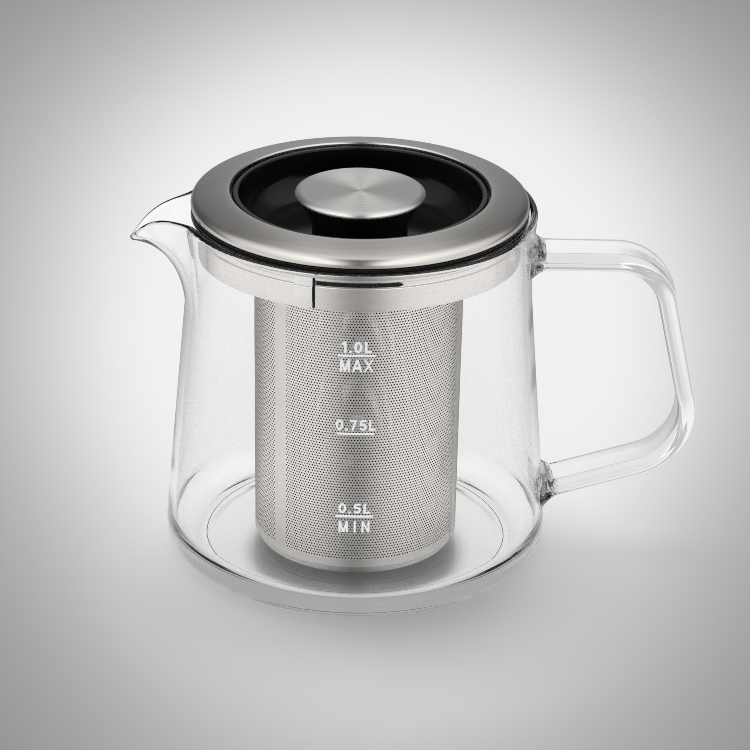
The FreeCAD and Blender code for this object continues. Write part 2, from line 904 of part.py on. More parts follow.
def lid_body():
    """Black moulding of the lid: carrier under the steel ring, deep bowl, spigot and ribs."""
    body = new_body("lid_body")
    wall = size("bowl_wall")
    carrier_foot = size("rim_bottom")
    carrier_top = carrier_foot + size("carrier_thick")
    channel = size("recess_edge_height") - size("recess_turn_down") - size("fit_gap")
    lip = size("bowl_lip_height")
    bowl = bowl_radius()
    shoulder = bowl + size("shoulder_width")
    bowl_side = bowl - size("bowl_draft")
    curve = size("bowl_curve")
    floor = size("bowl_floor_height")
    spigot = size("spigot_radius")
    spigot_inside = spigot - size("spigot_wall")
    hole = size("screw_radius") + size("play")
    clip = recess_radius() + size("rim_sheet") + size("fit_gap")
    carrier = rim_radius() - size("rim_sheet") - size("fit_gap")
    moulding = [
        (carrier, carrier_foot),
        (carrier, carrier_top - size("carrier_edge")),
        (carrier - size("carrier_edge"), carrier_top),
        (clip, carrier_top),
        (clip, channel),
        (shoulder, channel),
        (shoulder, lip - size("fit_gap")),
        (shoulder - size("fit_gap"), lip),
        (bowl, lip),
        (bowl_side, floor + curve, curve, 1),
        (bowl_side - curve, floor),
        (hole, floor),
        (hole, floor - wall),
        (bowl_side - curve, floor - wall, curve + wall, -1),
        (bowl_side + wall, floor + curve),
        (bowl_side + wall, carrier_foot),
        (spigot_inside, carrier_foot),
        (spigot_inside, size("spigot_bottom")),
        (spigot, size("spigot_bottom")),
        (spigot, carrier_foot),
    ]
    revolved(body, "moulding", moulding)
    rib_inside = bowl_side + wall / 2
    rib_outside = spigot - size("spigot_wall") / 2
    rib_foot = carrier_foot - size("rib_depth")
    rib_top = carrier_foot + size("carrier_thick") / 2
    sketch = new_sketch(body, "rib_profile", "XZ_Plane")
    closed_outline(
        sketch,
        [(rib_inside, rib_foot), (rib_outside, rib_foot), (rib_outside, rib_top), (rib_inside, rib_top)],
    )
    rib = body.newObject("PartDesign::Pad", "rib")
    rib.Profile = sketch
    rib.Midplane = True
    bind(rib, "Length", size("rib_thick"))
    doc.recompute()
    ribs = body.newObject("PartDesign::PolarPattern", "ribs")
    ribs.Originals = [rib]
    ribs.Axis = (plane_of(body, "Z_Axis"), [""])
    ribs.Angle = 360
    bind(ribs, "Occurrences", size("rib_count"))
    body.Tip = ribs
    doc.recompute()
    return body


def lid_seal():
    """Black silicone seal with two lips, between the lid and the mouth of the jug."""
    body = new_body("lid_seal")
    top = size("rim_bottom")
    bottom = size("seal_bottom")
    inner = size("spigot_radius")
    lip = seal_radius()
    waist = lip - size("seal_lip")
    middle = (top + bottom) / 2
    step = (top - bottom) / 8
    ring = [
        (inner, bottom),
        (waist, bottom),
        (lip, bottom + step),
        (lip, bottom + step * 2),
        (waist, middle),
        (lip, top - step * 2),
        (lip, top - step),
        (waist, top),
        (inner, top),
    ]
    revolved(body, "seal", ring)
    return body


def knob_stem():
    """Wide black stem that flares up to the knob, with the blind hole for its screw."""
    body = new_body("knob_stem")
    foot = size("bowl_floor_height")
    head = size("knob_top") - size("knob_thick")
    hole = size("screw_radius") + size("play")
    hole_top = foot - size("bowl_wall") - size("washer_thick") + size("screw_length") + size("fit_gap")
    stem = [
        (hole, foot),
        (size("stem_radius"), foot),
        (size("stem_radius"), foot + size("stem_neck"), size("stem_flare"), 1),
        (size("stem_head_radius"), head - size("stem_edge")),
        (size("stem_head_radius"), head),
        (0, head),
        (0, hole_top),
        (hole, hole_top),
    ]
    revolved(body, "stem", stem)
    return body


def knob_cap():
    """Steel disc on top of the stem, with a well rounded upper edge."""
    body = new_body("knob_cap")
    outer = size("knob_radius")
    top = size("knob_top")
    bottom = top - size("knob_thick")
    bend = size("knob_round")
    bevel = size("knob_bevel")
    cap = [
        (0, bottom),
        (outer - bevel, bottom),
        (outer, bottom + bevel),
        (outer, top - bend, bend, -1),
        (outer - bend, top),
        (0, top),
    ]
    revolved(body, "cap", cap)
    return body


def screw_seat():
    """Height of the underside of the washer, where the screw's head bears."""
    return size("bowl_floor_height") - size("bowl_wall") - size("washer_thick")


def knob_washer():
    body = new_body("knob_washer")
    seat = screw_seat()
    hole = size("screw_radius") + size("play")
    ring = [
        (hole, seat),
        (size("washer_radius"), seat),
        (size("washer_radius"), seat + size("washer_thick")),
        (hole, seat + size("washer_thick")),
    ]
    revolved(body, "washer", ring)
    return body


def knob_screw():
    """Screw that comes up through the bowl's floor into the stem."""
    body = new_body("knob_screw")
    seat = screw_seat()
    head = size("screw_head_radius")
    bevel = size("screw_head_height") / 2
    bottom = seat - size("screw_head_height")
    screw = [
        (0, bottom),
        (head - bevel, bottom),
        (head, bottom + bevel),
        (head, seat),
        (size("screw_radius"), seat),
        (size("screw_radius"), seat + size("screw_length")),
        (0, seat + size("screw_length")),
    ]
    revolved(body, "screw", screw)
    return body


# ---------------------------------------------------------------- build, check and write


def build():
    blank = plain_piece("jug_blank", filled_jug())
    return [
        plain_piece("jug_body", jug_solid()),
        handle_bar(),
        weld("upper_handle_weld", upper_end(), Size.of(0), blank),
        weld("lower_handle_weld", lower_end(), -size("lower_arm_slope"), blank),
        infuser_pan(),
        collar_band(),
        collar_lap_plate(),
        basket_wall(),
        basket_bottom(),
        lid_rim(),
        lid_body(),
        lid_seal(),
        knob_stem(),
        knob_cap(),
        knob_washer(),
        knob_screw(),
    ]


pieces = build()
doc.recompute()

for thing in doc.Objects:
    broken = [state for state in thing.State if state in ("Invalid", "Error")]
    if broken:
        raise RuntimeError(f"{thing.Label}: {broken}")

for piece in pieces:
    shape = piece.Shape
    if shape.isNull() or not shape.isValid() or len(shape.Solids) != 1:
        raise RuntimeError(f"{piece.Label}: bad shape, {len(shape.Solids)} solids")
    shape.exportStep(f"parts/{piece.Label}.step")
    print(f"{piece.Label}: {shape.Volume:.1f} mm3")
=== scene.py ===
import math

import bpy
import numpy as np
from mathutils import Matrix, Vector


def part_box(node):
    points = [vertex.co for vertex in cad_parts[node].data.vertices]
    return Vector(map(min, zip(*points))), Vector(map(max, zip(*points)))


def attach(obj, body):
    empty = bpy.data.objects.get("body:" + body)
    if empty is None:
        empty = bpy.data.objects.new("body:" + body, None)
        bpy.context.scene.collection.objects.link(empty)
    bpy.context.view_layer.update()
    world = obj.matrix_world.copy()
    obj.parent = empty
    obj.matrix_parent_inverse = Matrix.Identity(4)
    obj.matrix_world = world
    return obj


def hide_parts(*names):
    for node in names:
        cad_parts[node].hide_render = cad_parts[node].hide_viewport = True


# Looks of the glass teapot. Lengths are written in millimetres and turned into metres when a mesh is made.

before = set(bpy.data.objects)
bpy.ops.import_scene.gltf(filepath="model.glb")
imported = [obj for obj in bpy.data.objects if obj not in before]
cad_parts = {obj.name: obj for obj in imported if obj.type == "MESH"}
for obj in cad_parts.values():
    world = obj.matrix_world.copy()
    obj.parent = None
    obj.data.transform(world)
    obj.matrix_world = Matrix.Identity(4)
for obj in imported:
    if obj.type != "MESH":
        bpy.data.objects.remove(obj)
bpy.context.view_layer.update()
MM = 0.001
ON_AXIS = 1e-6

# ---------------------------------------------------------------- mesh helpers


def linked(name, data):
    """A new object in the scene."""
    thing = bpy.data.objects.new(name, data)
    bpy.context.scene.collection.objects.link(thing)
    return thing


def mesh_object(name, points, faces, smooth_angle=35):
    """A mesh object from points in millimetres. Edges sharper than the angle stay sharp."""
    mesh = bpy.data.meshes.new(name)
    mesh.from_pydata((np.asarray(points, float) * MM).tolist(), [], faces)
    mesh.validate()
    mesh.shade_smooth()
    mesh.set_sharp_from_angle(angle=math.radians(smooth_angle))
    mesh.update()
    return linked(name, mesh)


def unit(ways):
    """A way, or rows of them, brought to length 1."""
    return ways / np.linalg.norm(ways, axis=-1, keepdims=True)


def fillet_arc(before, here, after, radius, steps):
    """Points of the arc that rounds a corner, and the ways from the corner back and onward."""
    back, onward = unit(before - here), unit(after - here)
    half = math.acos(np.clip(back @ onward, -1, 1)) / 2
    leg = radius / math.tan(half)
    centre = here + unit(back + onward) * radius / math.sin(half)
    first, last = here + back * leg - centre, here + onward * leg - centre
    turn = math.atan2(first[0] * last[1] - first[1] * last[0], first @ last)
    angles = turn * np.arange(steps + 1) / steps
    cos, sin = np.cos(angles), np.sin(angles)
    arc = np.stack([first[0] * cos - first[1] * sin, first[0] * sin + first[1] * cos], -1)
    return centre + arc, back, onward


def rounded_outline(corners, steps=5, support=0.05):
    """A closed outline of (radius, height, fillet) corners. Flat runs get a point close to each fillet,
    so that their shading stays flat."""
    places = [np.array(corner[:2], float) for corner in corners]
    outline = []
    for i, (here, corner) in enumerate(zip(places, corners)):
        if corner[2] <= 0:
            outline.append(here)
            continue
        arc, back, onward = fillet_arc(places[i - 1], here, places[(i + 1) % len(places)], corner[2], steps)
        outline += [arc[0] + back * support, *arc, arc[-1] + onward * support]
    return np.array(outline)


def lathe(name, outline, segments=256, start=0.0, angle=360.0):
    """Turns a closed (radius, height) outline about Z. Less than a full turn gets flat ends."""
    r, z = outline[:, 0], outline[:, 1]
    if np.sum(r * np.roll(z, -1) - np.roll(r, -1) * z) > 0:
        outline = outline[::-1]
    full = angle >= 360
    columns = segments if full else segments + 1
    turns = np.radians(start + angle * np.arange(columns) / segments)
    points, index, faces = [], [], []
    for r, z in outline:
        if r < ON_AXIS:
            index.append([len(points)] * columns)
            points.append((0, 0, z))
        else:
            index.append(list(range(len(points), len(points) + columns)))
            points += [(r * math.cos(a), r * math.sin(a), z) for a in turns]
    for here, there in zip(index, index[1:] + index[:1]):
        if here[0] == here[1] and there[0] == there[1]:
            continue
        for j in range(segments):
            k = (j + 1) % columns
            faces.append(list(dict.fromkeys([here[j], there[j], there[k], here[k]])))
    if not full:
        faces += [[row[0] for row in index][::-1], [row[-1] for row in index]]
    return mesh_object(name, points, faces)


def tube_faces(rings, count, start=0):
    """Faces of a tube through rings of points that follow each other in a list, closed at both ends."""
    index = start + np.arange(rings * count).reshape(rings, count)
    after = np.roll(index, -1, axis=1)
    sides = np.stack([index[:-1], after[:-1], after[1:], index[1:]], -1).reshape(-1, 4)
    return [index[0, ::-1].tolist(), *sides.tolist(), index[-1].tolist()]


def joined(name, pieces):
    """Several mesh objects as one."""
    points, faces = [], []
    for piece in pieces:
        start = len(points)
        points += [tuple(v.co / MM) for v in piece.data.vertices]
        faces += [[start + v for v in p.vertices] for p in piece.data.polygons]
        old = piece.data
        bpy.data.objects.remove(piece)
        bpy.data.meshes.remove(old)
    return mesh_object(name, points, faces)


def finished(piece, body, slot, material, *replaces):
    """Gives a piece its body and its material, and hides the parts that it stands in for. The slot in the
    record is not used.
    """
    piece.data.materials.append(material)
    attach(piece, body)
    if replaces:
        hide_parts(*replaces)
    return piece


# ---------------------------------------------------------------- shader helpers

WHITE = (1, 1, 1, 1)


class Value:
    """A number that a shader works out. The signs + - * / > < after it each add a Math node."""

    def __init__(self, socket):
        self.socket = socket
        self.tree = socket.id_data


def plug(value, socket):
    """Gives a socket a constant, or joins it to what another node works out."""
    if isinstance(value, Value):
        value = value.socket
    if isinstance(value, bpy.types.NodeSocket):
        socket.id_data.links.new(value, socket)
    else:
        socket.default_value = value


def fill(node, **values):
    """Sets a node's own settings, or its sockets where the name has a capital."""
    for key, value in values.items():
        if key[0].isupper():
            plug(value, node.inputs[key.replace("_", " ")])
        else:
            setattr(node, key, value)
    return node


def add(tree, kind, **values):
    return fill(tree.nodes.new("ShaderNode" + kind), **values)


def maths(operation, *values):
    """A Math node over numbers and values."""
    tree = next(value.tree for value in values if isinstance(value, Value))
    node = add(tree, "Math", operation=operation)
    for value, socket in zip(values, node.inputs):
        plug(value, socket)
    return Value(node.outputs[0])


def sign_for(operation):
    return lambda first, second: maths(operation, first, second)


Value.__add__, Value.__sub__ = sign_for("ADD"), sign_for("SUBTRACT")
Value.__mul__, Value.__truediv__ = sign_for("MULTIPLY"), sign_for("DIVIDE")
Value.__gt__, Value.__lt__ = sign_for("GREATER_THAN"), sign_for("LESS_THAN")
larger, smaller = sign_for("MAXIMUM"), sign_for("MINIMUM")


def place_in(tree, kind="Object"):
    """The place that is shaded, or the way looked along in the world: as a whole, and its three numbers."""
    whole = add(tree, "TexCoord").outputs[kind]
    return (whole, *map(Value, add(tree, "SeparateXYZ", Vector=whole).outputs))


def rays(tree):
    """What Light Path tells, by name."""
    return {output.name: Value(output) for output in add(tree, "LightPath").outputs}


def length_of(x, y):
    return maths("SQRT", x * x + y * y)


def spread(value, low, high, first=0.0, last=1.0, **settings):
    """Maps first to last onto low to high."""
    reach = dict(From_Min=first, From_Max=last, To_Min=low, To_Max=high)
    return Value(add(value.tree, "MapRange", **settings, Value=value, **reach).outputs["Result"])


def blended(tree, share, first, second, blend_type="MIX"):
    """One colour turned into another by a share."""
    node = add(tree, "Mix", data_type="RGBA", blend_type=blend_type, Factor=share, A=first, B=second)
    return Value(node.outputs["Result"])


def mixed(tree, share, first, second):
    """One shader turned into another by a share."""
    node = add(tree, "MixShader", Fac=share)
    plug(first, node.inputs[1])
    plug(second, node.inputs[2])
    return node.outputs[0]


def ramp_of(value, stops, peak=1.0):
    """A smooth grey level along (place, level) stops. A smooth ramp can't go over 1, so higher levels are
    written as shares of a peak."""
    node = add(value.tree, "ValToRGB", Fac=value)
    ramp = node.color_ramp
    ramp.interpolation = "B_SPLINE"
    while len(ramp.elements) < len(stops):
        ramp.elements.new(0.5)
    for element, (place, level) in zip(ramp.elements, stops):
        element.position = place
        element.color = (level / peak, level / peak, level / peak, 1)
    level = Value(node.outputs["Color"])
    return level if peak == 1 else level * peak


def grain(vector, scale, detail=3.0):
    noise = add(vector.id_data, "TexNoise", Scale=scale, Detail=detail, Roughness=0.6, Vector=vector)
    return Value(noise.outputs["Fac"])


def bump(shader, height, strength, distance):
    node = add(height.tree, "Bump", Strength=strength, Distance=distance, Height=height)
    fill(shader, Normal=node.outputs["Normal"])


# ---------------------------------------------------------------- materials

BRUSH_ALONG = 2.5  # streaks per radian round the axis
BRUSH_FINE = 1400.0  # streaks per metre across them
BRUSH_SHARE = 0.7  # the rest of a steel's unevenness is cloudy
BRUSH_TURN = 0.25
STEEL_BUMP = 0.25
PLASTIC_BUMP = 0.12
GLASS_BUMP = 0.5
BUMP_DEPTH = 0.00002
GLASS_IOR = 1.47
GLASS_SHADOW = (0.945, 0.95, 0.945)


def new_material(name):
    material = bpy.data.materials.new(name)
    material.use_nodes = True
    return material, material.node_tree, material.node_tree.nodes["Principled BSDF"]


def steel(name, colour, roughness, anisotropy=0.6, streaks=0.12, turned=True):
    """Brushed stainless steel. Turned steel is brushed round the Z axis: its noise is stretched round it and
    tight across it."""
    material, tree, shader = new_material(name)
    vector, x, y, z = place_in(tree)
    if turned:
        tangent = add(tree, "Tangent", direction_type="RADIAL", axis="Z").outputs[0]
        fill(shader, Tangent=tangent, Anisotropic=anisotropy, Anisotropic_Rotation=BRUSH_TURN)
        turn = maths("ARCTAN2", y, x) * BRUSH_ALONG
        brushed = add(tree, "CombineXYZ", X=length_of(x, y) * BRUSH_FINE, Y=turn, Z=z * BRUSH_FINE)
        streak = grain(brushed.outputs[0], 1.0)
    else:
        streak = grain(vector, 900.0)
    both = streak * BRUSH_SHARE + grain(vector, 60.0, 2.0) * (1 - BRUSH_SHARE)
    dark = (*[c * (1 - streaks) for c in colour], 1)
    light = (*[min(c * (1 + streaks), 1) for c in colour], 1)
    rough = spread(both, roughness * 0.8, roughness * 1.2)
    fill(shader, Base_Color=blended(tree, both, dark, light), Roughness=rough, Metallic=1.0)
    bump(shader, streak, STEEL_BUMP, BUMP_DEPTH)
    return material


def plastic(name, colour, roughness, specular=0.5):
    """Smooth moulded plastic, rubber or print, with a faint grain."""
    material, tree, shader = new_material(name)
    vector = place_in(tree)[0]
    rough = spread(grain(vector, 45.0, 2.0), roughness * 0.75, roughness * 1.25)
    fill(shader, Base_Color=(*colour, 1), Roughness=rough, Specular_IOR_Level=specular)
    bump(shader, grain(vector, 900.0), PLASTIC_BUMP, BUMP_DEPTH)
    return material


def glass(name, colour, ripple, ripple_scale, depth_colour, density):
    """Clear glass with a faint ripple, tinted by its depth. It lets shadow rays and diffuse rays straight
    through, so that its shadow is pale."""
    material, tree, shader = new_material(name)
    fill(shader, Base_Color=(*colour, 1), Roughness=0.0, IOR=GLASS_IOR, Transmission_Weight=1.0)
    bump(shader, grain(place_in(tree)[0], ripple_scale, 1.0), GLASS_BUMP, ripple)
    ray = rays(tree)
    clear = add(tree, "BsdfTransparent", Color=(*GLASS_SHADOW, 1)).outputs[0]
    surface = shader.outputs[0]
    for kind in ("Is Shadow Ray", "Is Diffuse Ray"):
        surface = mixed(tree, ray[kind], surface, clear)
    depth = add(tree, "VolumeAbsorption", Density=density, Color=(*depth_colour, 1))
    fill(tree.nodes["Material Output"], Surface=surface, Volume=depth.outputs[0])
    return material


# ---------------------------------------------------------------- glass jug

GLASS = 2.4
BELLY_RADIUS = 64.9
FOOT_CORNER = 9.0
INNER_CORNER = 11.0
BELLY_LEAN = math.radians(4.85)
BELLY_STEPS = 14
NECK_CURVE = 160.0
NECK_STEPS = 40
JUG_HEIGHT = 122.1
LIP_HEIGHT = JUG_HEIGHT - GLASS / 2
LIP_STEPS = 14
SPOUT_ROOT = 88.0
SPOUT_PULL = 16.3
SPOUT_DROOP = 9.8
SHOULDER_DIP = 2.2
SPOUT_HALF_ANGLE = 18.0
SPOUT_WIDENING = 0.35  # how much wider it is at its root
SPOUT_PATCH_ANGLE = 34
TIP_ROUNDING = 0.12
ROOT_ROUNDING = 0.5
SWEEP = 1.6  # the power by which the pull grows up to the lip, and out to the tip
DROOP_SWEEP = 2.56
DIP_SWEEP = 2.5
SHOULDER_ANGLE = 20.0
# The foot's raised underside lies inside a soft step, and its corner has faint waves.
HOLLOW_RADIUS = 49.3
HOLLOW_STEP = 4.0
FOOT_HOLLOW = 0.35
FOOT_WAVES = 7
WAVE_DEPTH = 0.07
WAVED_STEPS = 42
PLAIN_STEPS = 20


# Where the round foot runs into the straight belly, and the centre of the curve that the neck follows above
# it, as (radius, height).
LEAN_WAY = np.array((math.cos(BELLY_LEAN), math.sin(BELLY_LEAN)))
BELLY_START = np.array((BELLY_RADIUS - FOOT_CORNER, FOOT_CORNER)) + FOOT_CORNER * LEAN_WAY
NECK_FOOT = BELLY_START[0] - (SPOUT_ROOT - BELLY_START[1]) * math.tan(BELLY_LEAN)
NECK_CENTRE = np.array((NECK_FOOT, SPOUT_ROOT)) + NECK_CURVE * LEAN_WAY


def wall_radius(z):
    """Outer radius of the plain jug at a height."""
    if z < BELLY_START[1]:
        return BELLY_RADIUS - FOOT_CORNER + math.sqrt(max(FOOT_CORNER**2 - (FOOT_CORNER - z) ** 2, 0))
    if z < SPOUT_ROOT:
        return BELLY_START[0] - (z - BELLY_START[1]) * math.tan(BELLY_LEAN)
    return NECK_CENTRE[0] - math.sqrt(NECK_CURVE**2 - (z - NECK_CENTRE[1]) ** 2)


def spout_share(azimuth, share):
    """How far the wall is pulled out (0 to 1), at an angle in degrees and a share of the spout's height."""
    rounding = TIP_ROUNDING + ROOT_ROUNDING * np.clip(1 - share, 0, None)
    half_angle = SPOUT_HALF_ANGLE * (1 + SPOUT_WIDENING * (1 - share))
    ratio = np.clip(np.abs(azimuth) / half_angle, 0, 1)
    softened = (np.hypot(ratio, rounding) - rounding) / (np.hypot(1, rounding) - rounding)
    return (1 - softened) ** SWEEP


def pulled(azimuth, radius, height):
    """Points of the jug's outside, moved out and down where the glass is pulled into the spout."""
    share = np.clip((height - SPOUT_ROOT) / (LIP_HEIGHT - SPOUT_ROOT), 0, None)
    pull = spout_share(azimuth, share)
    shoulder = np.exp(-((azimuth / SHOULDER_ANGLE) ** 4))
    radius = radius + SPOUT_PULL * pull * share**SWEEP
    height = height - SPOUT_DROOP * pull**3 * share**DROOP_SWEEP - SHOULDER_DIP * shoulder * share**DIP_SWEEP
    turn = np.radians(180 + azimuth)
    return np.stack([radius * np.cos(turn), radius * np.sin(turn), height], -1)


def arc_points(centre, radius, first, last, steps):
    angles = np.linspace(first, last, steps + 1)
    return np.stack([centre[0] + radius * np.cos(angles), centre[1] + radius * np.sin(angles)], -1)


def foot_profile(inset, corner, hollow=0.0, waves=0.0):
    """From the axis over the foot and round its corner up to the straight belly, an inset inside the outer
    line."""
    line = BELLY_START @ LEAN_WAY - inset
    centre_z = inset + corner
    centre_r = (line - corner - centre_z * LEAN_WAY[1]) / LEAN_WAY[0]
    half = HOLLOW_STEP / 2
    step = HOLLOW_RADIUS + np.linspace(-half, half, 17)
    reach = np.concatenate([np.linspace(0, step[0] - 0.2, 10), step, [centre_r - 0.05]])
    across = np.clip((reach - step[0]) / HOLLOW_STEP, 0, 1)
    rise = hollow * (0.5 + 0.5 * np.cos(np.pi * across))
    share = np.linspace(0, 1, (WAVED_STEPS if waves else PLAIN_STEPS) + 1)
    angles = -math.pi / 2 + (math.pi / 2 + BELLY_LEAN) * share
    waved = corner - waves * np.sin(math.pi * share) * (0.5 - 0.5 * np.cos(2 * math.pi * FOOT_WAVES * share))
    bend = np.stack([centre_r + waved * np.cos(angles), centre_z + waved * np.sin(angles)], -1)
    return np.concatenate([np.stack([reach, inset + rise], -1), bend])


def straight_profile(start, end):
    return start + (end - start) * np.linspace(0, 1, BELLY_STEPS + 1)[1:-1, None]


def jug_azimuths():
    """Angles from the spout in degrees, closest together across its tip."""
    share = np.linspace(-1, 1, 161)
    beak = SPOUT_PATCH_ANGLE * (0.55 * share**3 + 0.45 * share)
    rest = np.linspace(SPOUT_PATCH_ANGLE, 360 - SPOUT_PATCH_ANGLE, 221)[1:-1]
    return np.concatenate([beak, np.where(rest > 180, rest - 360, rest)])


def jug_grid():
    """Rows of points from the outer foot over the lip to the inner floor. The neck's inner wall is measured
    square to the outer one, so that the glass of the spout is even."""
    azimuths = jug_azimuths()
    last = math.pi - math.asin((LIP_HEIGHT - NECK_CENTRE[1]) / NECK_CURVE)
    neck = arc_points(NECK_CENTRE, NECK_CURVE, math.pi + BELLY_LEAN, last, NECK_STEPS)
    foot = foot_profile(0.0, FOOT_CORNER, FOOT_HOLLOW, WAVE_DEPTH)
    lower = np.concatenate([foot, straight_profile(foot[-1], neck[0])])
    step = 1e-3

    def outside(azimuth, profile):
        return pulled(azimuth[None, :], profile[:, :1], profile[:, 1:])

    ahead = unit(np.gradient(neck, axis=0)) * step
    place = outside(azimuths, neck)
    around = outside(azimuths + step, neck) - outside(azimuths - step, neck)
    onward = unit(outside(azimuths, neck + ahead) - outside(azimuths, neck - ahead))
    normal = unit(np.cross(around, onward))

    turns = np.linspace(0, math.pi, LIP_STEPS + 1)[1:-1, None, None]
    half = GLASS / 2
    lip = place[-1] - normal[-1] * half * (1 - np.cos(turns)) + onward[-1] * half * np.sin(turns)
    inner_neck = (place - normal * GLASS)[::-1]
    inner_foot = foot_profile(GLASS, INNER_CORNER)
    inner = np.concatenate([straight_profile(neck[0] - LEAN_WAY * GLASS, inner_foot[-1]), inner_foot[::-1]])
    turn = np.radians(180 + azimuths)[None, :]

    def plain(profile):
        r, z = profile[:, :1], profile[:, 1:]
        return np.stack(np.broadcast_arrays(r * np.cos(turn), r * np.sin(turn), z), -1)

    return np.concatenate([plain(lower), place, lip, inner_neck, plain(inner)])


def jug_piece():
    """The grid as one closed skin. Its first and last rows are single points on the axis."""
    grid = jug_grid()
    rows, columns = grid.shape[:2]
    points = np.concatenate([grid[0, :1], grid[1:-1].reshape(-1, 3), grid[-1, :1]])
    index = 1 + np.arange((rows - 2) * columns).reshape(rows - 2, columns)
    after = np.roll(index, -1, axis=1)
    faces = np.stack([index[:-1], after[:-1], after[1:], index[1:]], -1).reshape(-1, 4).tolist()
    faces += [[0, int(b), int(a)] for a, b in zip(index[0], after[0])]
    faces += [[len(points) - 1, int(a), int(b)] for a, b in zip(index[-1], after[-1])]
    return mesh_object("glass_jug", points, faces, 60)


# ---------------------------------------------------------------- glass handle, fused to the jug at both ends

STRAP = (17.0, 6.2, 2.6)  # width, thickness and the rounding of its edges
UPPER_ARM = ((62.13, 106.4), (99.75, 106.4))  # reach and height of its weld and of its bend
LOWER_BEND = (115.3, 37.5)
LOWER_SLOPE = math.radians(17.2)
LOWER_END_X = 68.15
BEND_RADII = (17.8, 22.0)
BEND_STEPS = 36
ARM_STEPS = 12
WELD_WIDTH = 22.0
WELD_HEIGHT = 13.5
WELD_DEPTH = 0.35
WELD_STEPS = 14
WELD_FOLD = 0.025
WELD_SWEEP = 1.7


def handle_path():
    """Places and directions along the strap's centre line in the XZ plane."""
    drop = (LOWER_BEND[0] - LOWER_END_X) * math.tan(LOWER_SLOPE)
    ends = [np.array(p, float) for p in (*UPPER_ARM, LOWER_BEND, (LOWER_END_X, LOWER_BEND[1] - drop))]
    shares = np.linspace(0, 1, ARM_STEPS + 1)[:, None]
    places = []
    cursor = ends[0]
    for i, radius in enumerate(BEND_RADII):
        arc = fillet_arc(*ends[i : i + 3], radius, BEND_STEPS)[0]
        places += [*(cursor + (arc[0] - cursor) * shares[:-1]), *arc]
        cursor = arc[-1]
    places += list(cursor + (ends[3] - cursor) * shares[1:])
    return places, unit(np.gradient(np.array(places), axis=0))


def strap_outline(width, thick, corner, steps=6):
    """Points round the strap's section as (across, up)."""
    half, rise = width / 2, thick / 2
    corners = [(half, -rise, corner), (half, rise, corner), (-half, rise, corner), (-half, -rise, corner)]
    outline = rounded_outline(corners, steps, 0.15)
    flat = np.linspace(0, 1, 7)[1:-1]
    dense = []
    for i, (here, there) in enumerate(zip(outline, np.roll(outline, -1, axis=0))):
        dense.append(here)
        if i % (steps + 3) == steps + 2:
            dense += [here + (there - here) * share for share in flat]
    return np.array(dense)


def section_at(place, way, section):
    """A section as points in space, square to the way that the strap runs."""
    middle = np.array([place[0], 0, place[1]])
    return middle + np.outer(section[:, 0], (0, 1, 0)) + np.outer(section[:, 1], (-way[1], 0, way[0]))


def weld_rings(end, way):
    """Rings from the strap's end to the jug's wall. They swell like drawn glass, with a few uneven folds."""
    width, thick, corner = STRAP
    base = strap_outline(*STRAP)
    angles = np.arctan2(base[:, 1] / thick, base[:, 0] / width)
    waves = np.sin(5 * angles + 1.0) + 0.6 * np.sin(9 * angles + 2.2)
    arm = np.array([way[0], 0, way[1]])
    rings = []
    for share in np.arange(1, WELD_STEPS + 1) / WELD_STEPS:
        swell = share**WELD_SWEEP
        taller = (WELD_HEIGHT - thick) * swell
        section = strap_outline(width + (WELD_WIDTH - width) * swell, thick + taller, corner + taller * 0.4)
        section = section * (1 + WELD_FOLD * math.sin(math.pi * share) * waves)[:, None]
        flat = section_at(end, way, section)
        walls = []
        for point in flat:
            x = math.sqrt(max(wall_radius(point[2]) - WELD_DEPTH, 1) ** 2 - point[1] ** 2)
            walls.append(point + arm * (x - point[0]) / arm[0])
        rings.append(flat + (np.array(walls) - flat) * share)
    return rings


def handle_piece():
    places, directions = handle_path()
    section = strap_outline(*STRAP)
    strap = [section_at(place, way, section) for place, way in zip(places, directions)]
    upper, lower = (weld_rings(places[i], directions[i]) for i in (0, -1))
    rings = upper[::-1] + strap + lower
    return mesh_object("glass_handle", np.concatenate(rings), tube_faces(len(rings), len(section)), 50)


# ---------------------------------------------------------------- printed level marks

# Each level: height of its line, then its words with the heights of their foot and cap, their width, and the
# gap between their letters in the letters' own boxes.
LEVELS = (
    (94.4, (("1.0L", 95.35, 99.3, 9.8, 0.17), ("MAX", 88.9, 93.2, 10.6, 0.2))),
    (67.8, (("0.75L", 68.95, 72.7, 12.9, 0.17),)),
    (39.3, (("0.5L", 40.3, 43.8, 10.4, 0.17), ("MIN", 33.7, 37.6, 10.1, 0.5))),
)
MARK_WIDTH = 12.1
MARK_COLUMNS = 24
LINE_THICK = 0.75
PRINT_LIFT = 0.03
PRINT_THICK = 0.04
PATCH_LIFT = 0.0004
PEN = 0.19  # width of a stroke in the letters' own boxes


def oval(across, up, wide, high, first=0, last=360, steps=20):
    """Points of an oval stroke, from one angle to another."""
    angles = np.radians(np.linspace(first, last, steps + 1))
    return [(across + wide * math.cos(a), up + high * math.sin(a)) for a in angles]


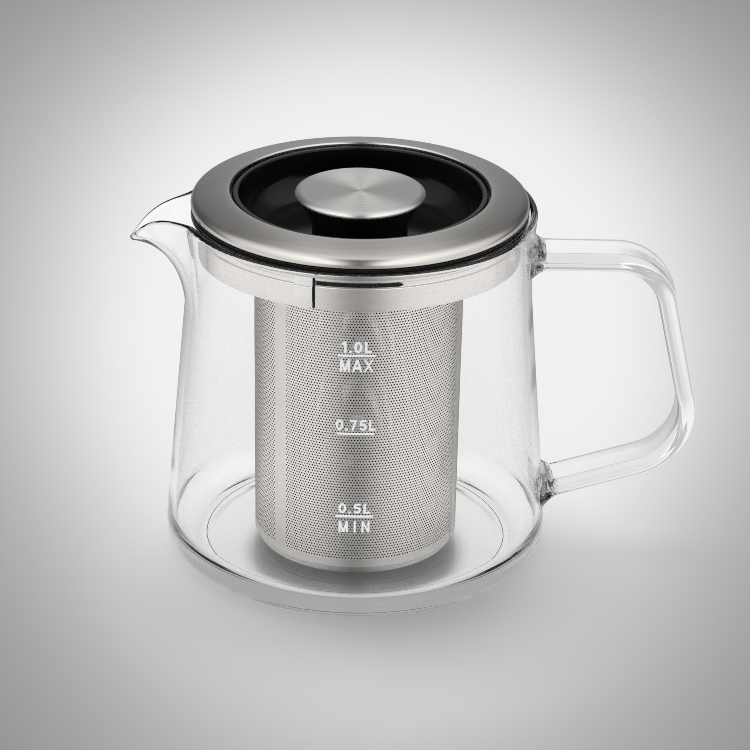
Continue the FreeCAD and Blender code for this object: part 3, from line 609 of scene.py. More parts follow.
# Bold upright letters as pen strokes in a box one cap height high: (width, strokes).
LETTERS = {
    "0": (0.66, [oval(0.33, 0.5, 0.225, 0.395)]),
    "1": (0.42, [[(0.3, 0), (0.3, 1)], [(0.3, 0.9), (0.02, 0.72)]]),
    "5": (0.64, [[(0.6, 0.89), (0.17, 0.89), (0.12, 0.5)], oval(0.3, 0.34, 0.235, 0.235, 140, -150)]),
    "7": (0.6, [[(0, 0.89), (0.52, 0.89)], [(0.49, 0.95), (0.2, -0.1)]]),
    "L": (0.58, [[(0.11, 0), (0.11, 1)], [(0.11, 0.105), (0.58, 0.105)]]),
    "M": (0.86, [[(0.1, 0), (0.1, 1)], [(0.76, 0), (0.76, 1)], [(0.1, 1.1), (0.43, 0), (0.76, 1.1)]]),
    "A": (0.8, [[(0.06, -0.12), (0.4, 1.0), (0.74, -0.12)], [(0.2, 0.3), (0.6, 0.3)]]),
    "X": (0.76, [[(0.04, -0.1), (0.72, 1.1)], [(0.04, 1.1), (0.72, -0.1)]]),
    "I": (0.22, [[(0.11, 0), (0.11, 1)]]),
    "N": (0.74, [[(0.1, 0), (0.1, 1)], [(0.64, 0), (0.64, 1)], [(0.1, 1.05), (0.64, -0.05)]]),
    ".": (0.22, [[(0.0, 0.105), (0.21, 0.105)]]),
}


def onto_glass(points):
    """Wraps flat (across, lift, height) points onto the front of the jug."""
    wrapped = []
    for across, lift, height in points:
        reach = wall_radius(height)
        turn = across / reach
        wrapped.append(((reach + lift) * math.sin(turn), -(reach + lift) * math.cos(turn), height))
    return np.array(wrapped)


def pen_patches(stroke):
    """A stroke as flat patches: a block for each run, and a small disc at each bend."""
    patches = []
    places = [np.array(p, float) for p in stroke]
    for here, there in zip(places, places[1:]):
        way = unit(there - here)
        side = np.array((-way[1], way[0])) * PEN / 2
        patches.append([here - side, there - side, there + side, here + side])
    if len(places) > 3:
        turns = np.radians(np.arange(0, 360, 30))
        patches += [[p + PEN / 2 * np.array((math.cos(a), math.sin(a))) for a in turns] for p in places[1:-1]]
    return patches


def printed_words(name, text, low, high, width, gap):
    """A word as thin raised print on the glass. Each patch lies a trace higher than the last."""
    total = sum(LETTERS[letter][0] for letter in text) + gap * (len(text) - 1)
    points, faces = [], []
    cursor, lift = -total / 2, PRINT_LIFT
    for letter in text:
        for patch in [patch for stroke in LETTERS[letter][1] for patch in pen_patches(stroke)]:
            lift += PATCH_LIFT
            faces += tube_faces(2, len(patch), len(points))
            for depth in (0, lift + PRINT_THICK):
                for x, y in patch:
                    height = low + min(max(y, 0), 1) * (high - low)
                    points.append(((cursor + x) / total * width, depth, height))
        cursor += LETTERS[letter][0] + gap
    return mesh_object(name, onto_glass(points), faces, 30)


def printed_line(name, height):
    corners = [(0, 0.5), (1, 0.5), (1, -0.5), (0, -0.5)]
    points = [
        (across, PRINT_LIFT + PRINT_THICK * lift, height + LINE_THICK * rise)
        for across in np.linspace(-MARK_WIDTH / 2, MARK_WIDTH / 2, MARK_COLUMNS + 1)
        for lift, rise in corners
    ]
    return mesh_object(name, onto_glass(points), tube_faces(MARK_COLUMNS + 1, 4), 30)


# ---------------------------------------------------------------- infuser

SHEET = 0.6
PLAY = 0.05  # between pieces that fit into each other
BAND_RADIUS = 53.506
BAND_BOTTOM = 108.1
BAND_TOP = 119.1
GROOVE_HEIGHT = 117.1
GROOVE_WIDTH = 2.3
GROOVE_DEPTH = 0.5
SLIT_AZIMUTH = 255.1
SLIT_ANGLE = 0.95
LAP_ANGLE = 6.4
LAP_BOTTOM = 110.6
LAP_THICK = 0.5
LAP_STEP = 115.8
LAP_THIN = 0.15
# The slot is no opening: it is a near-black strip laid in the band's groove, painted shade.
SLOT_END = 285.5
SLOT_LOW = 116.0
SLOT_HIGH = 118.05
SLOT_STEPS = 60
SLOT_POINT = (0.14, 0.8)  # the share of the slot's length that narrows to its end, and by how much
# How far above the band's top the near-black line under the pan's lip reaches: a painted shadow gap.
LINE_UNDER_LIP = 0.3
PAN_FLOOR = 108.2
PAN_LIP = 119.9
PAN_COLLAR = 3.0
BASKET_TOP_RADIUS = 35.0
BASKET_FOOT_RADIUS = 34.5
BASKET_SHEET = 0.4
BASKET_FOOT = 2.5
BASKET_CORNER = 3.2
BASKET_FLUTE = 6.5  # from the cup's wall to where its flat bottom starts
BASKET_JOINT = 6.0
BASKET_OVERLAP = 2.6
HOLE_PITCH = 0.987
HOLE_ROW = 0.979
HOLE_RADIUS = 0.3
HOLES_FROM = 8.9
HOLES_TO = 106.5
STRIPS = (343.6, 223.6, 103.6)
STRIP_ANGLE = 9.3
PANEL_TUCK = 0.9  # how far a panel reaches behind a strip, in degrees
SEAM_ANGLE = 7.6
SEAM_THICK = 0.3


def basket_radius(z):
    taper = (BASKET_TOP_RADIUS - BASKET_FOOT_RADIUS) / (PAN_FLOOR - BASKET_FOOT)
    return BASKET_FOOT_RADIUS + taper * (z - BASKET_FOOT)


def band_radius(_):
    return BAND_RADIUS


def pan_piece():
    wall = BAND_RADIUS - SHEET - GROOVE_DEPTH - PLAY
    low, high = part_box("infuser_pan")
    reach = (high.y - low.y) / 2 / MM
    collar = basket_radius(PAN_FLOOR - PAN_COLLAR) - BASKET_SHEET - PLAY
    corners = [
        (collar - SHEET, PAN_FLOOR - PAN_COLLAR, 0.1),
        (collar, PAN_FLOOR - PAN_COLLAR, 0.1),
        (collar, PAN_FLOOR, 0.3),
        (wall, PAN_FLOOR, 0.9),
        (wall, PAN_LIP, 0.4),
        (reach, PAN_LIP, 0.25),
        (reach, PAN_LIP + SHEET, 0.25),
        (wall - SHEET, PAN_LIP + SHEET, 0.9),
        (wall - SHEET, PAN_FLOOR + SHEET, 0.4),
        (collar - SHEET, PAN_FLOOR + SHEET, 0.8),
    ]
    return lathe("steel_pan", rounded_outline(corners), 288)


def band_piece():
    """The split band, with a groove pressed in near its top."""
    low, high = GROOVE_HEIGHT - GROOVE_WIDTH / 2, GROOVE_HEIGHT + GROOVE_WIDTH / 2
    inner, soft, edge = BAND_RADIUS - SHEET, 0.35, 0.1
    corners = [
        (inner, BAND_BOTTOM, 0.08),
        (BAND_RADIUS, BAND_BOTTOM, 0.25),
        (BAND_RADIUS, low, soft),
        (BAND_RADIUS - GROOVE_DEPTH, low + GROOVE_DEPTH, soft),
        (BAND_RADIUS - GROOVE_DEPTH, high - GROOVE_DEPTH, soft),
        (BAND_RADIUS, high, soft),
        (BAND_RADIUS, BAND_TOP, 0.25),
        (inner, BAND_TOP, 0.08),
        (inner, high, soft),
        (inner - GROOVE_DEPTH, high - GROOVE_DEPTH, edge),
        (inner - GROOVE_DEPTH, low + GROOVE_DEPTH, edge),
        (inner, low, soft),
    ]
    start = SLIT_AZIMUTH + SLIT_ANGLE / 2
    return lathe("collar_ring", rounded_outline(corners, 4, 0.04), 300, start, 360 - SLIT_ANGLE)


def lap_piece():
    """The plate beside the slit: thick below, thinner above a step."""
    corners = [
        (BAND_RADIUS - 0.02, LAP_BOTTOM, 0.02),
        (BAND_RADIUS + LAP_THICK, LAP_BOTTOM, 0.2),
        (BAND_RADIUS + LAP_THICK, LAP_STEP, 0.2),
        (BAND_RADIUS + LAP_THIN, LAP_STEP + 0.2, 0.1),
        (BAND_RADIUS + LAP_THIN, BAND_TOP, 0.05),
        (BAND_RADIUS - 0.02, BAND_TOP, 0.02),
    ]
    start = SLIT_AZIMUTH - SLIT_ANGLE / 2 - LAP_ANGLE
    return lathe("collar_lap", rounded_outline(corners, 4, 0.03), 24, start, LAP_ANGLE)


def sheet_outline(low, high, inner, outer, fillets, steps=3, support=0.03, radius=basket_radius):
    """Section of an upright sheet between two heights, with its two faces as offsets from a radius."""
    corners = [
        (radius(low) + inner, low, fillets[0]),
        (radius(low) + outer, low, fillets[1]),
        (radius(high) + outer, high, fillets[1]),
        (radius(high) + inner, high, fillets[0]),
    ]
    return rounded_outline(corners, steps, support)


def band_shade_piece():
    """Painted shade at the band, as near-black pieces where there is only shade: the slot, a strip in its
    groove from the slit to a pointed end; a sheet behind the slit; and a line under the lip of the pan."""
    start = SLIT_AZIMUTH + SLIT_ANGLE / 2 + 0.15
    reach = BAND_RADIUS - GROOVE_DEPTH + 0.06
    middle, half = (SLOT_LOW + SLOT_HIGH) / 2, (SLOT_HIGH - SLOT_LOW) / 2
    point, least = SLOT_POINT
    points = []
    for share in np.arange(SLOT_STEPS + 1) / SLOT_STEPS:
        turn = math.radians(start + (SLOT_END - start) * share)
        rise = half * (1 - least * max((share - 1 + point) / point, 0) ** 2)
        for r, z in ((reach - 0.3, -rise), (reach - 0.3, rise), (reach, rise), (reach, -rise)):
            points.append((r * math.cos(turn), r * math.sin(turn), middle + z))
    slot = mesh_object("slot", points, tube_faces(SLOT_STEPS + 1, 4), 30)
    thin = ((0.02, 0.02), 2, 0.005)
    low, high = BAND_BOTTOM + 0.2, BAND_TOP - 0.1
    ground = sheet_outline(low, high, -SHEET - 0.02, -SHEET + 0.05, *thin, band_radius)
    behind = lathe("behind", ground, 4, SLIT_AZIMUTH - SLIT_ANGLE / 2, SLIT_ANGLE)
    line = sheet_outline(BAND_TOP - 0.05, BAND_TOP + LINE_UNDER_LIP, -0.3, 0.03, *thin, band_radius)
    above = lathe("above", line, 60, start, SLOT_END + 4 - start)
    return joined("collar_painted_shade", [slot, behind, above])


def basket_frame_piece():
    """The basket's wall where it has no holes: top and foot rings, three strips and the lapped seam."""
    pieces = []
    for low, high in ((BASKET_JOINT, HOLES_FROM), (HOLES_TO, PAN_FLOOR)):
        pieces.append(lathe("ring", sheet_outline(low, high, -BASKET_SHEET - 0.02, 0.02, (0.04, 0.08)), 240))
    strip = sheet_outline(HOLES_FROM - 0.2, HOLES_TO + 0.2, -BASKET_SHEET - 0.015, 0.015, (0.04, 0.08))
    pieces += [lathe("strip", strip, 14, azimuth - STRIP_ANGLE / 2, STRIP_ANGLE) for azimuth in STRIPS]
    lap = sheet_outline(BASKET_JOINT, PAN_FLOOR, -BASKET_SHEET / 2, SEAM_THICK, (0.05, 0.12))
    pieces.append(lathe("seam", lap, 12, STRIPS[0] - SEAM_ANGLE / 2, SEAM_ANGLE))
    return joined("basket_frame", pieces)


def perforated_panel(name, first, last, half):
    """Thin sheet with staggered holes: the first or second half of the space between two azimuths. Each hole
    lies in a six-sided cell, and cells share their corners, so that the two halves fit into each other."""
    radius = (BASKET_TOP_RADIUS + BASKET_FOOT_RADIUS) / 2
    stretch = HOLE_ROW / (HOLE_PITCH * math.sqrt(3) / 2)
    rows = int((HOLES_TO - HOLES_FROM) / HOLE_ROW)
    width = math.radians(last - first) * radius
    columns = int(width / HOLE_PITCH)
    margin = (width - columns * HOLE_PITCH) / 2
    split = columns // 2
    mine = np.arange(split) if half == 0 else np.arange(split, columns)
    row, column = np.meshgrid(np.arange(rows), mine, indexing="ij")
    across = margin + (column + 0.25 + 0.5 * (row % 2)) * HOLE_PITCH
    height = HOLES_FROM + (row + 0.5) * HOLE_ROW
    centres = np.stack([across, height], -1).reshape(-1, 2)
    turns = np.radians(30 + 60 * np.arange(6))
    spokes = np.stack([np.cos(turns), np.sin(turns)], -1)
    cell = (centres[:, None] + spokes * (HOLE_PITCH / math.sqrt(3)) * (1, stretch)).reshape(-1, 2)
    hole = (centres[:, None] + spokes * HOLE_RADIUS).reshape(-1, 2)
    keys = np.round(cell * 1000).astype(int)
    _, where, corner = np.unique(keys, axis=0, return_index=True, return_inverse=True)
    flat = np.concatenate([cell[where], hole])
    layer = len(flat)
    corner = corner.reshape(-1, 6)
    ring = len(where) + np.arange(len(hole)).reshape(-1, 6)
    corner_after, ring_after = np.roll(corner, -1, 1), np.roll(ring, -1, 1)
    front = np.stack([corner, corner_after, ring_after, ring], -1).reshape(-1, 4)
    back = front[:, ::-1] + layer
    bore = np.stack([ring, ring_after, ring_after + layer, ring + layer], -1).reshape(-1, 4)
    edges = np.stack([corner, corner_after], -1).reshape(-1, 2)
    _, at, times = np.unique(np.sort(edges, axis=1), axis=0, return_index=True, return_counts=True)
    rim = edges[at[times == 1]]
    side = np.stack([rim[:, 1], rim[:, 0], rim[:, 0] + layer, rim[:, 1] + layer], -1)
    turn = math.radians(first) + flat[:, 0] / radius
    outer = basket_radius(flat[:, 1])
    skins = [
        np.stack([reach * np.cos(turn), reach * np.sin(turn), flat[:, 1]], -1)
        for reach in (outer, outer - BASKET_SHEET)
    ]
    panel = mesh_object(name, np.concatenate(skins), np.concatenate([front, back, bore, side]).tolist())
    # The backs, bores and cut sides take the second material, a near-black steel: painted shade inside the
    # basket and in its holes.
    inside = np.ones(len(panel.data.polygons), dtype=np.int32)
    inside[: len(front)] = 0
    panel.data.polygons.foreach_set("material_index", inside)
    return panel


def basket_panels():
    """Six perforated panels, two in each space between the plain strips."""
    panels = []
    for i, strip in enumerate(sorted(STRIPS)):
        start = strip + STRIP_ANGLE / 2 - PANEL_TUCK
        span = 120 - STRIP_ANGLE + 2 * PANEL_TUCK
        for half in (0, 1):
            panels.append(perforated_panel(f"basket_panel_{2 * i + half + 1}", start, start + span, half))
    return panels


def basket_bottom_piece():
    outer = basket_radius(BASKET_JOINT) - BASKET_SHEET - PLAY
    top = BASKET_JOINT + BASKET_OVERLAP
    corners = [
        (0, BASKET_FOOT, 0),
        (outer - BASKET_FLUTE, BASKET_FOOT, 1.5),
        (outer, BASKET_FOOT, BASKET_CORNER),
        (outer, top, 0.1),
        (outer - BASKET_SHEET, top, 0.1),
        (outer - BASKET_SHEET, BASKET_FOOT + BASKET_SHEET, BASKET_CORNER - BASKET_SHEET),
        (0, BASKET_FOOT + BASKET_SHEET, 0),
    ]
    return lathe("basket_cup", rounded_outline(corners, 10), 240)


# ---------------------------------------------------------------- lid

RIM_RADIUS = 56.004
RIM_BOTTOM = 123.5
RIM_TOP = 126.7
RIM_SHEET = 0.8
RIM_WALL = 0.6
RIM_SHOULDER = 3.6
RIM_SWELL = 0.3
RECESS_RADIUS = 43.004
RECESS_EDGE = 128.6
TURN_DOWN = 2.0
CLIP_GAP = 0.3
BOWL_RADIUS = 40.204
BOWL_LIP = 127.6
BOWL_FLOOR = 113.0
BOWL_CURVE = 10.0
BOWL_WALL = 2.0
BOWL_DRAFT = 1.0
SCREW_HOLE = 2.05
SHOULDER = 42.2
SPIGOT_RADIUS = 50.806
SPIGOT_BOTTOM = 113.5
SPIGOT_WALL = 1.6
CARRIER_RADIUS = 54.9
CARRIER_EDGE = 0.6
CARRIER_THICK = 1.4
RIBS = 16
RIB_DEPTH = 6.5
RIB_THICK = 1.4
SEAL_RADIUS = 55.804
SEAL_BOTTOM = 120.8
SEAL_WAIST = 0.9
SEAL_RIDGE = (0.34, 0.85)  # from the seal's edge to the start and the end of a ridge
STEM_RADIUS = 15.9
STEM_NECK = 3.0
STEM_HEAD = 20.9
STEM_FLARE = 40.0
STEM_EDGE = 0.7
STEM_BORE_TOP = 120.6
KNOB_RADIUS = 21.7
KNOB_TOP = 128.2
KNOB_THICK = 1.9
KNOB_BEVEL = 0.4
KNOB_WALL = 0.35
KNOB_SHOULDER = 2.2
KNOB_DISH = 0.15


def soft_bend(start, start_way, end, end_way, steps=12):
    """Points of a cubic curve that leaves and arrives along the two ways. A way's length is its pull."""
    places = [np.array(p, float) for p in (start, np.add(start, start_way), np.subtract(end, end_way), end)]
    shares = np.linspace(0, 1, steps + 1)[:, None]
    weights = ((1 - shares) ** 3, 3 * shares * (1 - shares) ** 2, 3 * shares**2 * (1 - shares), shares**3)
    return sum(weight * place for weight, place in zip(weights, places))


def rim_piece():
    """Pressed ring: out of its upright wall in one soft bend, then a low crown up to the inner edge."""
    wall = (RIM_RADIUS, RIM_BOTTOM + RIM_WALL)
    shoulder = (RIM_RADIUS - RIM_SHOULDER, RIM_TOP + RIM_SWELL)
    inner = RECESS_RADIUS + RIM_SHEET
    bend = soft_bend(wall, (0, 2.0), shoulder, (-1.9, 0.5))
    arch = soft_bend(shoulder, (-2.6, 0.68), (inner, RECESS_EDGE), (-2.6, 0.28))
    corners = [
        (RIM_RADIUS - RIM_SHEET, RIM_BOTTOM, 0.1),
        (RIM_RADIUS, RIM_BOTTOM, 0.25),
        *[(r, z, 0) for r, z in (*bend, *arch[1:-1])],
        (RECESS_RADIUS, RECESS_EDGE + 0.06, 0.6),
        (RECESS_RADIUS, RECESS_EDGE - TURN_DOWN, 0.1),
        (inner, RECESS_EDGE - TURN_DOWN, 0.1),
        (inner, RECESS_EDGE - RIM_SHEET, 0.3),
        (shoulder[0], shoulder[1] - RIM_SHEET, 0),
        (RIM_RADIUS - RIM_SHEET, wall[1] + 0.6, 0.8),
    ]
    return lathe("lid_ring", rounded_outline(corners, 8), 320)


def lid_body_piece():
    """The moulding: carrier for the ring, shoulder, bowl with a screw hole, and spigot."""
    side, under = BOWL_RADIUS - BOWL_DRAFT, BOWL_FLOOR - BOWL_WALL
    channel = RECESS_EDGE - TURN_DOWN - CLIP_GAP
    clip = RECESS_RADIUS + RIM_SHEET + CLIP_GAP
    carrier = RIM_BOTTOM + CARRIER_THICK
    corners = [
        (CARRIER_RADIUS, RIM_BOTTOM, 0.2),
        (CARRIER_RADIUS, carrier - CARRIER_EDGE, 0.2),
        (CARRIER_RADIUS - CARRIER_EDGE, carrier, 0.2),
        (clip, carrier, 0.2),
        (clip, channel, 0.2),
        (SHOULDER, channel, 0.2),
        (SHOULDER, BOWL_LIP, 0.5),
        (BOWL_RADIUS, BOWL_LIP, 0.6),
        (side, BOWL_FLOOR, BOWL_CURVE),
        (SCREW_HOLE, BOWL_FLOOR, 0.1),
        (SCREW_HOLE, under, 0.1),
        (side + BOWL_WALL, under, BOWL_CURVE + BOWL_WALL),
        (side + BOWL_WALL, RIM_BOTTOM, 0.5),
        (SPIGOT_RADIUS - SPIGOT_WALL, RIM_BOTTOM, 0.5),
        (SPIGOT_RADIUS - SPIGOT_WALL, SPIGOT_BOTTOM, 0.4),
        (SPIGOT_RADIUS, SPIGOT_BOTTOM, 0.6),
        (SPIGOT_RADIUS, RIM_BOTTOM, 0.3),
    ]
    return lathe("lid_moulding", rounded_outline(corners, 12), 288)


def rib_piece():
    """The ribs under the lid, between its bowl and its spigot."""
    low, high, half = RIM_BOTTOM - RIB_DEPTH, RIM_BOTTOM + 0.3, RIB_THICK / 2
    points, faces = [], []
    for turn in np.radians(360 / RIBS * np.arange(RIBS)):
        out = np.array((math.cos(turn), math.sin(turn), 0))
        side = np.array((-math.sin(turn), math.cos(turn), 0))
        faces += tube_faces(2, 4, len(points))
        for r in (BOWL_RADIUS, SPIGOT_RADIUS - SPIGOT_WALL / 2):
            for y, z in ((-half, low), (half, low), (half, high), (-half, high)):
                points.append(out * r + side * y + np.array((0, 0, z)))
    return mesh_object("lid_ribs", points, faces)


def seal_piece():
    """The seal, with a ridge at each edge and a waist between them."""
    near, far = SEAL_RIDGE
    waist = SEAL_RADIUS - SEAL_WAIST
    corners = [
        (SPIGOT_RADIUS, SEAL_BOTTOM, 0.05),
        (waist, SEAL_BOTTOM, 0.1),
        (SEAL_RADIUS, SEAL_BOTTOM + near, 0.2),
        (SEAL_RADIUS, SEAL_BOTTOM + far, 0.2),
        (waist, (SEAL_BOTTOM + RIM_BOTTOM) / 2, 0.2),
        (SEAL_RADIUS, RIM_BOTTOM - far, 0.2),
        (SEAL_RADIUS, RIM_BOTTOM - near, 0.2),
        (waist, RIM_BOTTOM, 0.1),
        (SPIGOT_RADIUS, RIM_BOTTOM, 0.05),
    ]
    return lathe("seal_ring", rounded_outline(corners, 4, 0.02), 256)


def stem_piece():
    """Wide black stem: a short upright foot, then a hollow flare up to the disc."""
    head = KNOB_TOP - KNOB_THICK
    foot = np.array((STEM_RADIUS, BOWL_FLOOR + STEM_NECK))
    edge = np.array((STEM_HEAD, head - STEM_EDGE))
    chord = edge - foot
    half = np.linalg.norm(chord) / 2
    left = np.array((-chord[1], chord[0])) / (2 * half)
    centre = foot + chord / 2 - left * math.sqrt(STEM_FLARE**2 - half**2)
    first, last = (math.atan2(*(place - centre)[::-1]) for place in (foot, edge))
    outline = [(SCREW_HOLE, BOWL_FLOOR), (STEM_RADIUS, BOWL_FLOOR)]
    outline += [*arc_points(centre, STEM_FLARE, first, last, 20)]
    outline += [(STEM_HEAD, head), (0, head), (0, STEM_BORE_TOP), (SCREW_HOLE, STEM_BORE_TOP)]
    return lathe("stem", np.array(outline), 160)


def knob_piece():
    """Spun disc: a shallow dish, a wide soft upper edge and a flat underside."""
    under = KNOB_TOP - KNOB_THICK
    wall = (KNOB_RADIUS, under + KNOB_BEVEL + KNOB_WALL)
    shoulder = (KNOB_RADIUS - KNOB_SHOULDER, KNOB_TOP)
    corners = [
        (KNOB_RADIUS - KNOB_BEVEL, under, 0.1),
        (KNOB_RADIUS, under + KNOB_BEVEL, 0.1),
        *[(r, z, 0) for r, z in soft_bend(wall, (0, 0.55), shoulder, (-1.1, 0.02))],
        *[(r * shoulder[0], KNOB_TOP - KNOB_DISH * (1 - r**2), 0) for r in np.linspace(1, 0, 15)[1:]],
        (0, under, 0),
    ]
    return lathe("knob_disc", rounded_outline(corners, 6), 256)


# ---------------------------------------------------------------- build the pieces

jug_glass = glass("jug_glass", (0.997, 0.998, 0.997), 0.00035, 28.0, (0.66, 0.71, 0.67), 17.0)
handle_glass = glass("handle_glass", (0.995, 0.997, 0.995), 0.0003, 45.0, (0.6, 0.7, 0.6), 7.0)
ring_steel = steel("ring_steel", (0.63, 0.605, 0.58), 0.22)
knob_steel = steel("knob_steel", (0.75, 0.73, 0.71), 0.36, 0.85, 0.22)
# The infuser's steel is one steel. Its copies here are paler or darker part by part, from the near-white lap
# plate down to the pan and cup: painted light and shade, set to how lit each part shows.
collar_steel = steel("collar_steel", (0.91, 0.865, 0.845), 0.22, 0.5, 0.09)
lap_steel = steel("lap_steel", (0.99, 0.98, 0.975), 0.3, 0.3, 0.03)
pan_steel = steel("pan_steel", (0.66, 0.655, 0.645), 0.26, 0.4, 0.08)
mesh_steel = steel("mesh_steel", (0.97, 0.935, 0.91), 0.37, 0.3, 0.03)
strip_steel = steel("strip_steel", (0.85, 0.81, 0.785), 0.34, 0.3, 0.04)
# Near-black copy of the steel for the panels' backs and bores: painted shade inside the basket.
inner_painted_shade_steel = steel("inner_painted_shade_steel", (0.02, 0.019, 0.018), 0.5, 0.3, 0.08)
# Near-black steel for the slot, the sheet behind the slit and the line under the pan's lip: painted shade.
band_shade_steel = steel("band_shade_steel", (0.02, 0.019, 0.016), 0.35, 0.3, 0.3)
screw_steel = steel("screw_steel", (0.6, 0.6, 0.6), 0.25, turned=False)
black_plastic = plastic("black_plastic", (0.005, 0.005, 0.005), 0.14, 0.2)
# The seal is drawn near black.
near_black_seal = plastic("near_black_seal", (0.006, 0.006, 0.006), 0.35, 0.25)
white_print = plastic("white_print", (0.97, 0.97, 0.97), 0.5)

finished(jug_piece(), "jug", "jug_glass", jug_glass, "jug_body")
welded = ("handle_bar", "upper_handle_weld", "lower_handle_weld")
finished(handle_piece(), "jug", "handle_glass", handle_glass, *welded)
for height, words in LEVELS:
    finished(printed_line(f"mark_line_{height:.0f}", height), "jug", "level_print", white_print)
    for text, *room in words:
        label = text.replace(".", "_")
        finished(printed_words(f"mark_{label}", text, *room), "jug", "level_print", white_print)

finished(pan_piece(), "infuser", "infuser_steel", pan_steel, "infuser_pan")
finished(band_piece(), "infuser", "collar_steel", collar_steel, "collar_band")
finished(lap_piece(), "infuser", "collar_steel", lap_steel, "collar_lap_plate")
finished(band_shade_piece(), "infuser", "collar_steel", band_shade_steel)
finished(basket_frame_piece(), "infuser", "perforated_steel", strip_steel, "basket_wall")
for panel in basket_panels():
    finished(panel, "infuser", "perforated_steel", mesh_steel)
    panel.data.materials.append(inner_painted_shade_steel)
finished(basket_bottom_piece(), "infuser", "infuser_steel", pan_steel, "basket_bottom")

finished(rim_piece(), "lid", "lid_steel", ring_steel, "lid_rim")
finished(lid_body_piece(), "lid", "lid_plastic", black_plastic, "lid_body")
finished(rib_piece(), "lid", "lid_plastic", black_plastic)
finished(seal_piece(), "lid", "seal_silicone", near_black_seal, "lid_seal")
finished(stem_piece(), "lid", "lid_plastic", black_plastic, "knob_stem")
finished(knob_piece(), "lid", "knob_steel", knob_steel, "knob_cap")
for node in ("knob_washer", "knob_screw"):
    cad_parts[node].data.materials.clear()
    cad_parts[node].data.materials.append(screw_steel)

# ---------------------------------------------------------------- floor, light and camera

FLOOR_DROP = 0.0003
FLOOR_HALF = 6.0
# The floor's level: its pale colour with a painted pool of light, pale round a middle, darker beyond a reach
# to the sides, to the back and in front.
FLOOR_PALE = 0.899
FLOOR_DIM = 0.169
FLOOR_LEAST = 0.3
FLOOR_MIDDLE = (0.0092, 0.157)
FLOOR_ACROSS = 0.118
FLOOR_WIDENING = 0.808
FLOOR_NARROWEST = 0.6
FLOOR_BACK = 0.405
FLOOR_FRONT = 0.278
FLOOR_FADE = 3.49
# How much of what a ray sees is glow: from the camera, through glass or in a mirror, and past a mirror.
SEEN_GLOW = 0.1
SHOWN_GLOW = 0.7
MIRROR_GLOW = 1.0
# Levels that steel and glass mirror, from the floor in front of the teapot (0) round to that behind it (1).
CARD_FRONT = ((0, 0.28), (0.05, 0.36), (0.11, 0.68), (0.17, 0.88))
CARD_STOPS = (*CARD_FRONT, (0.25, 1), (0.58, 1), (0.68, 0.4), (1, 0.25))
GLASS_CARD_STOPS = ((0, 0.1), (0.34, 0.15), (0.5, 0.85), (0.68, 0.9), (0.82, 0.35), (1, 0.3))
CARD_FAR = (0.0, 0.06, 0.18, 0.34)  # from level to level, over a distance from the axis in metres
# Near the axis, the floor that steel mirrors is darkened, a painted shade under the jug, and the floor that
# glass mirrors is lifted, painted light.
CARD_UNDER = (0.62, 1.0, 0.045, 0.085)
GLASS_UNDER = (0.4, 0.0, 0.08, 0.115)
AGAIN_LEAST = 0.6
# The floor as it is seen through the glass: lifted to at least a level, with a painted soft shadow under the
# basket, as it is seen through the glass foot.
THROUGH_LEAST = 0.62
SHADE_REACH = 0.1
SHADE_PEAK = 1.25
SHADE_FORWARD = 0.0125
SHADE_NARROWING = 1.1
SHADE_NEAR = ((0, 0.08), (0.2, 0.05), (0.28, 0.02), (0.335, 0.1), (0.375, 0.32))
SHADE_STOPS = (*SHADE_NEAR, (0.405, 0.86), (0.44, 1.15), (0.6, 1.22), (1, 1.1))
# Counts of bounces, as limits between whole numbers. A wall of glass takes two passes.
ONCE, TWICE, ONE_WALL, GUIDED = 0.5, 1.5, 2.5, 7.5


def floor_colour_and_light_pool(x, y):
    """How pale the floor is: its pale colour with a painted pool of light, palest behind the middle and
    greyer all round, as in a lit studio.
    """
    width = larger(y * FLOOR_WIDENING + 1.0, FLOOR_NARROWEST)
    across = (x - FLOOR_MIDDLE[0]) / FLOOR_ACROSS / width
    along = y - FLOOR_MIDDLE[1]
    along = larger(along, 0.0) / FLOOR_BACK + smaller(along, 0.0) / FLOOR_FRONT
    square = larger(across * across + along * along, 0.01)
    fade = maths("EXPONENT", maths("POWER", square, -FLOOR_FADE / 2) * -1.0)
    return larger(fade * (FLOOR_DIM - FLOOR_PALE) + FLOOR_PALE, FLOOR_LEAST)


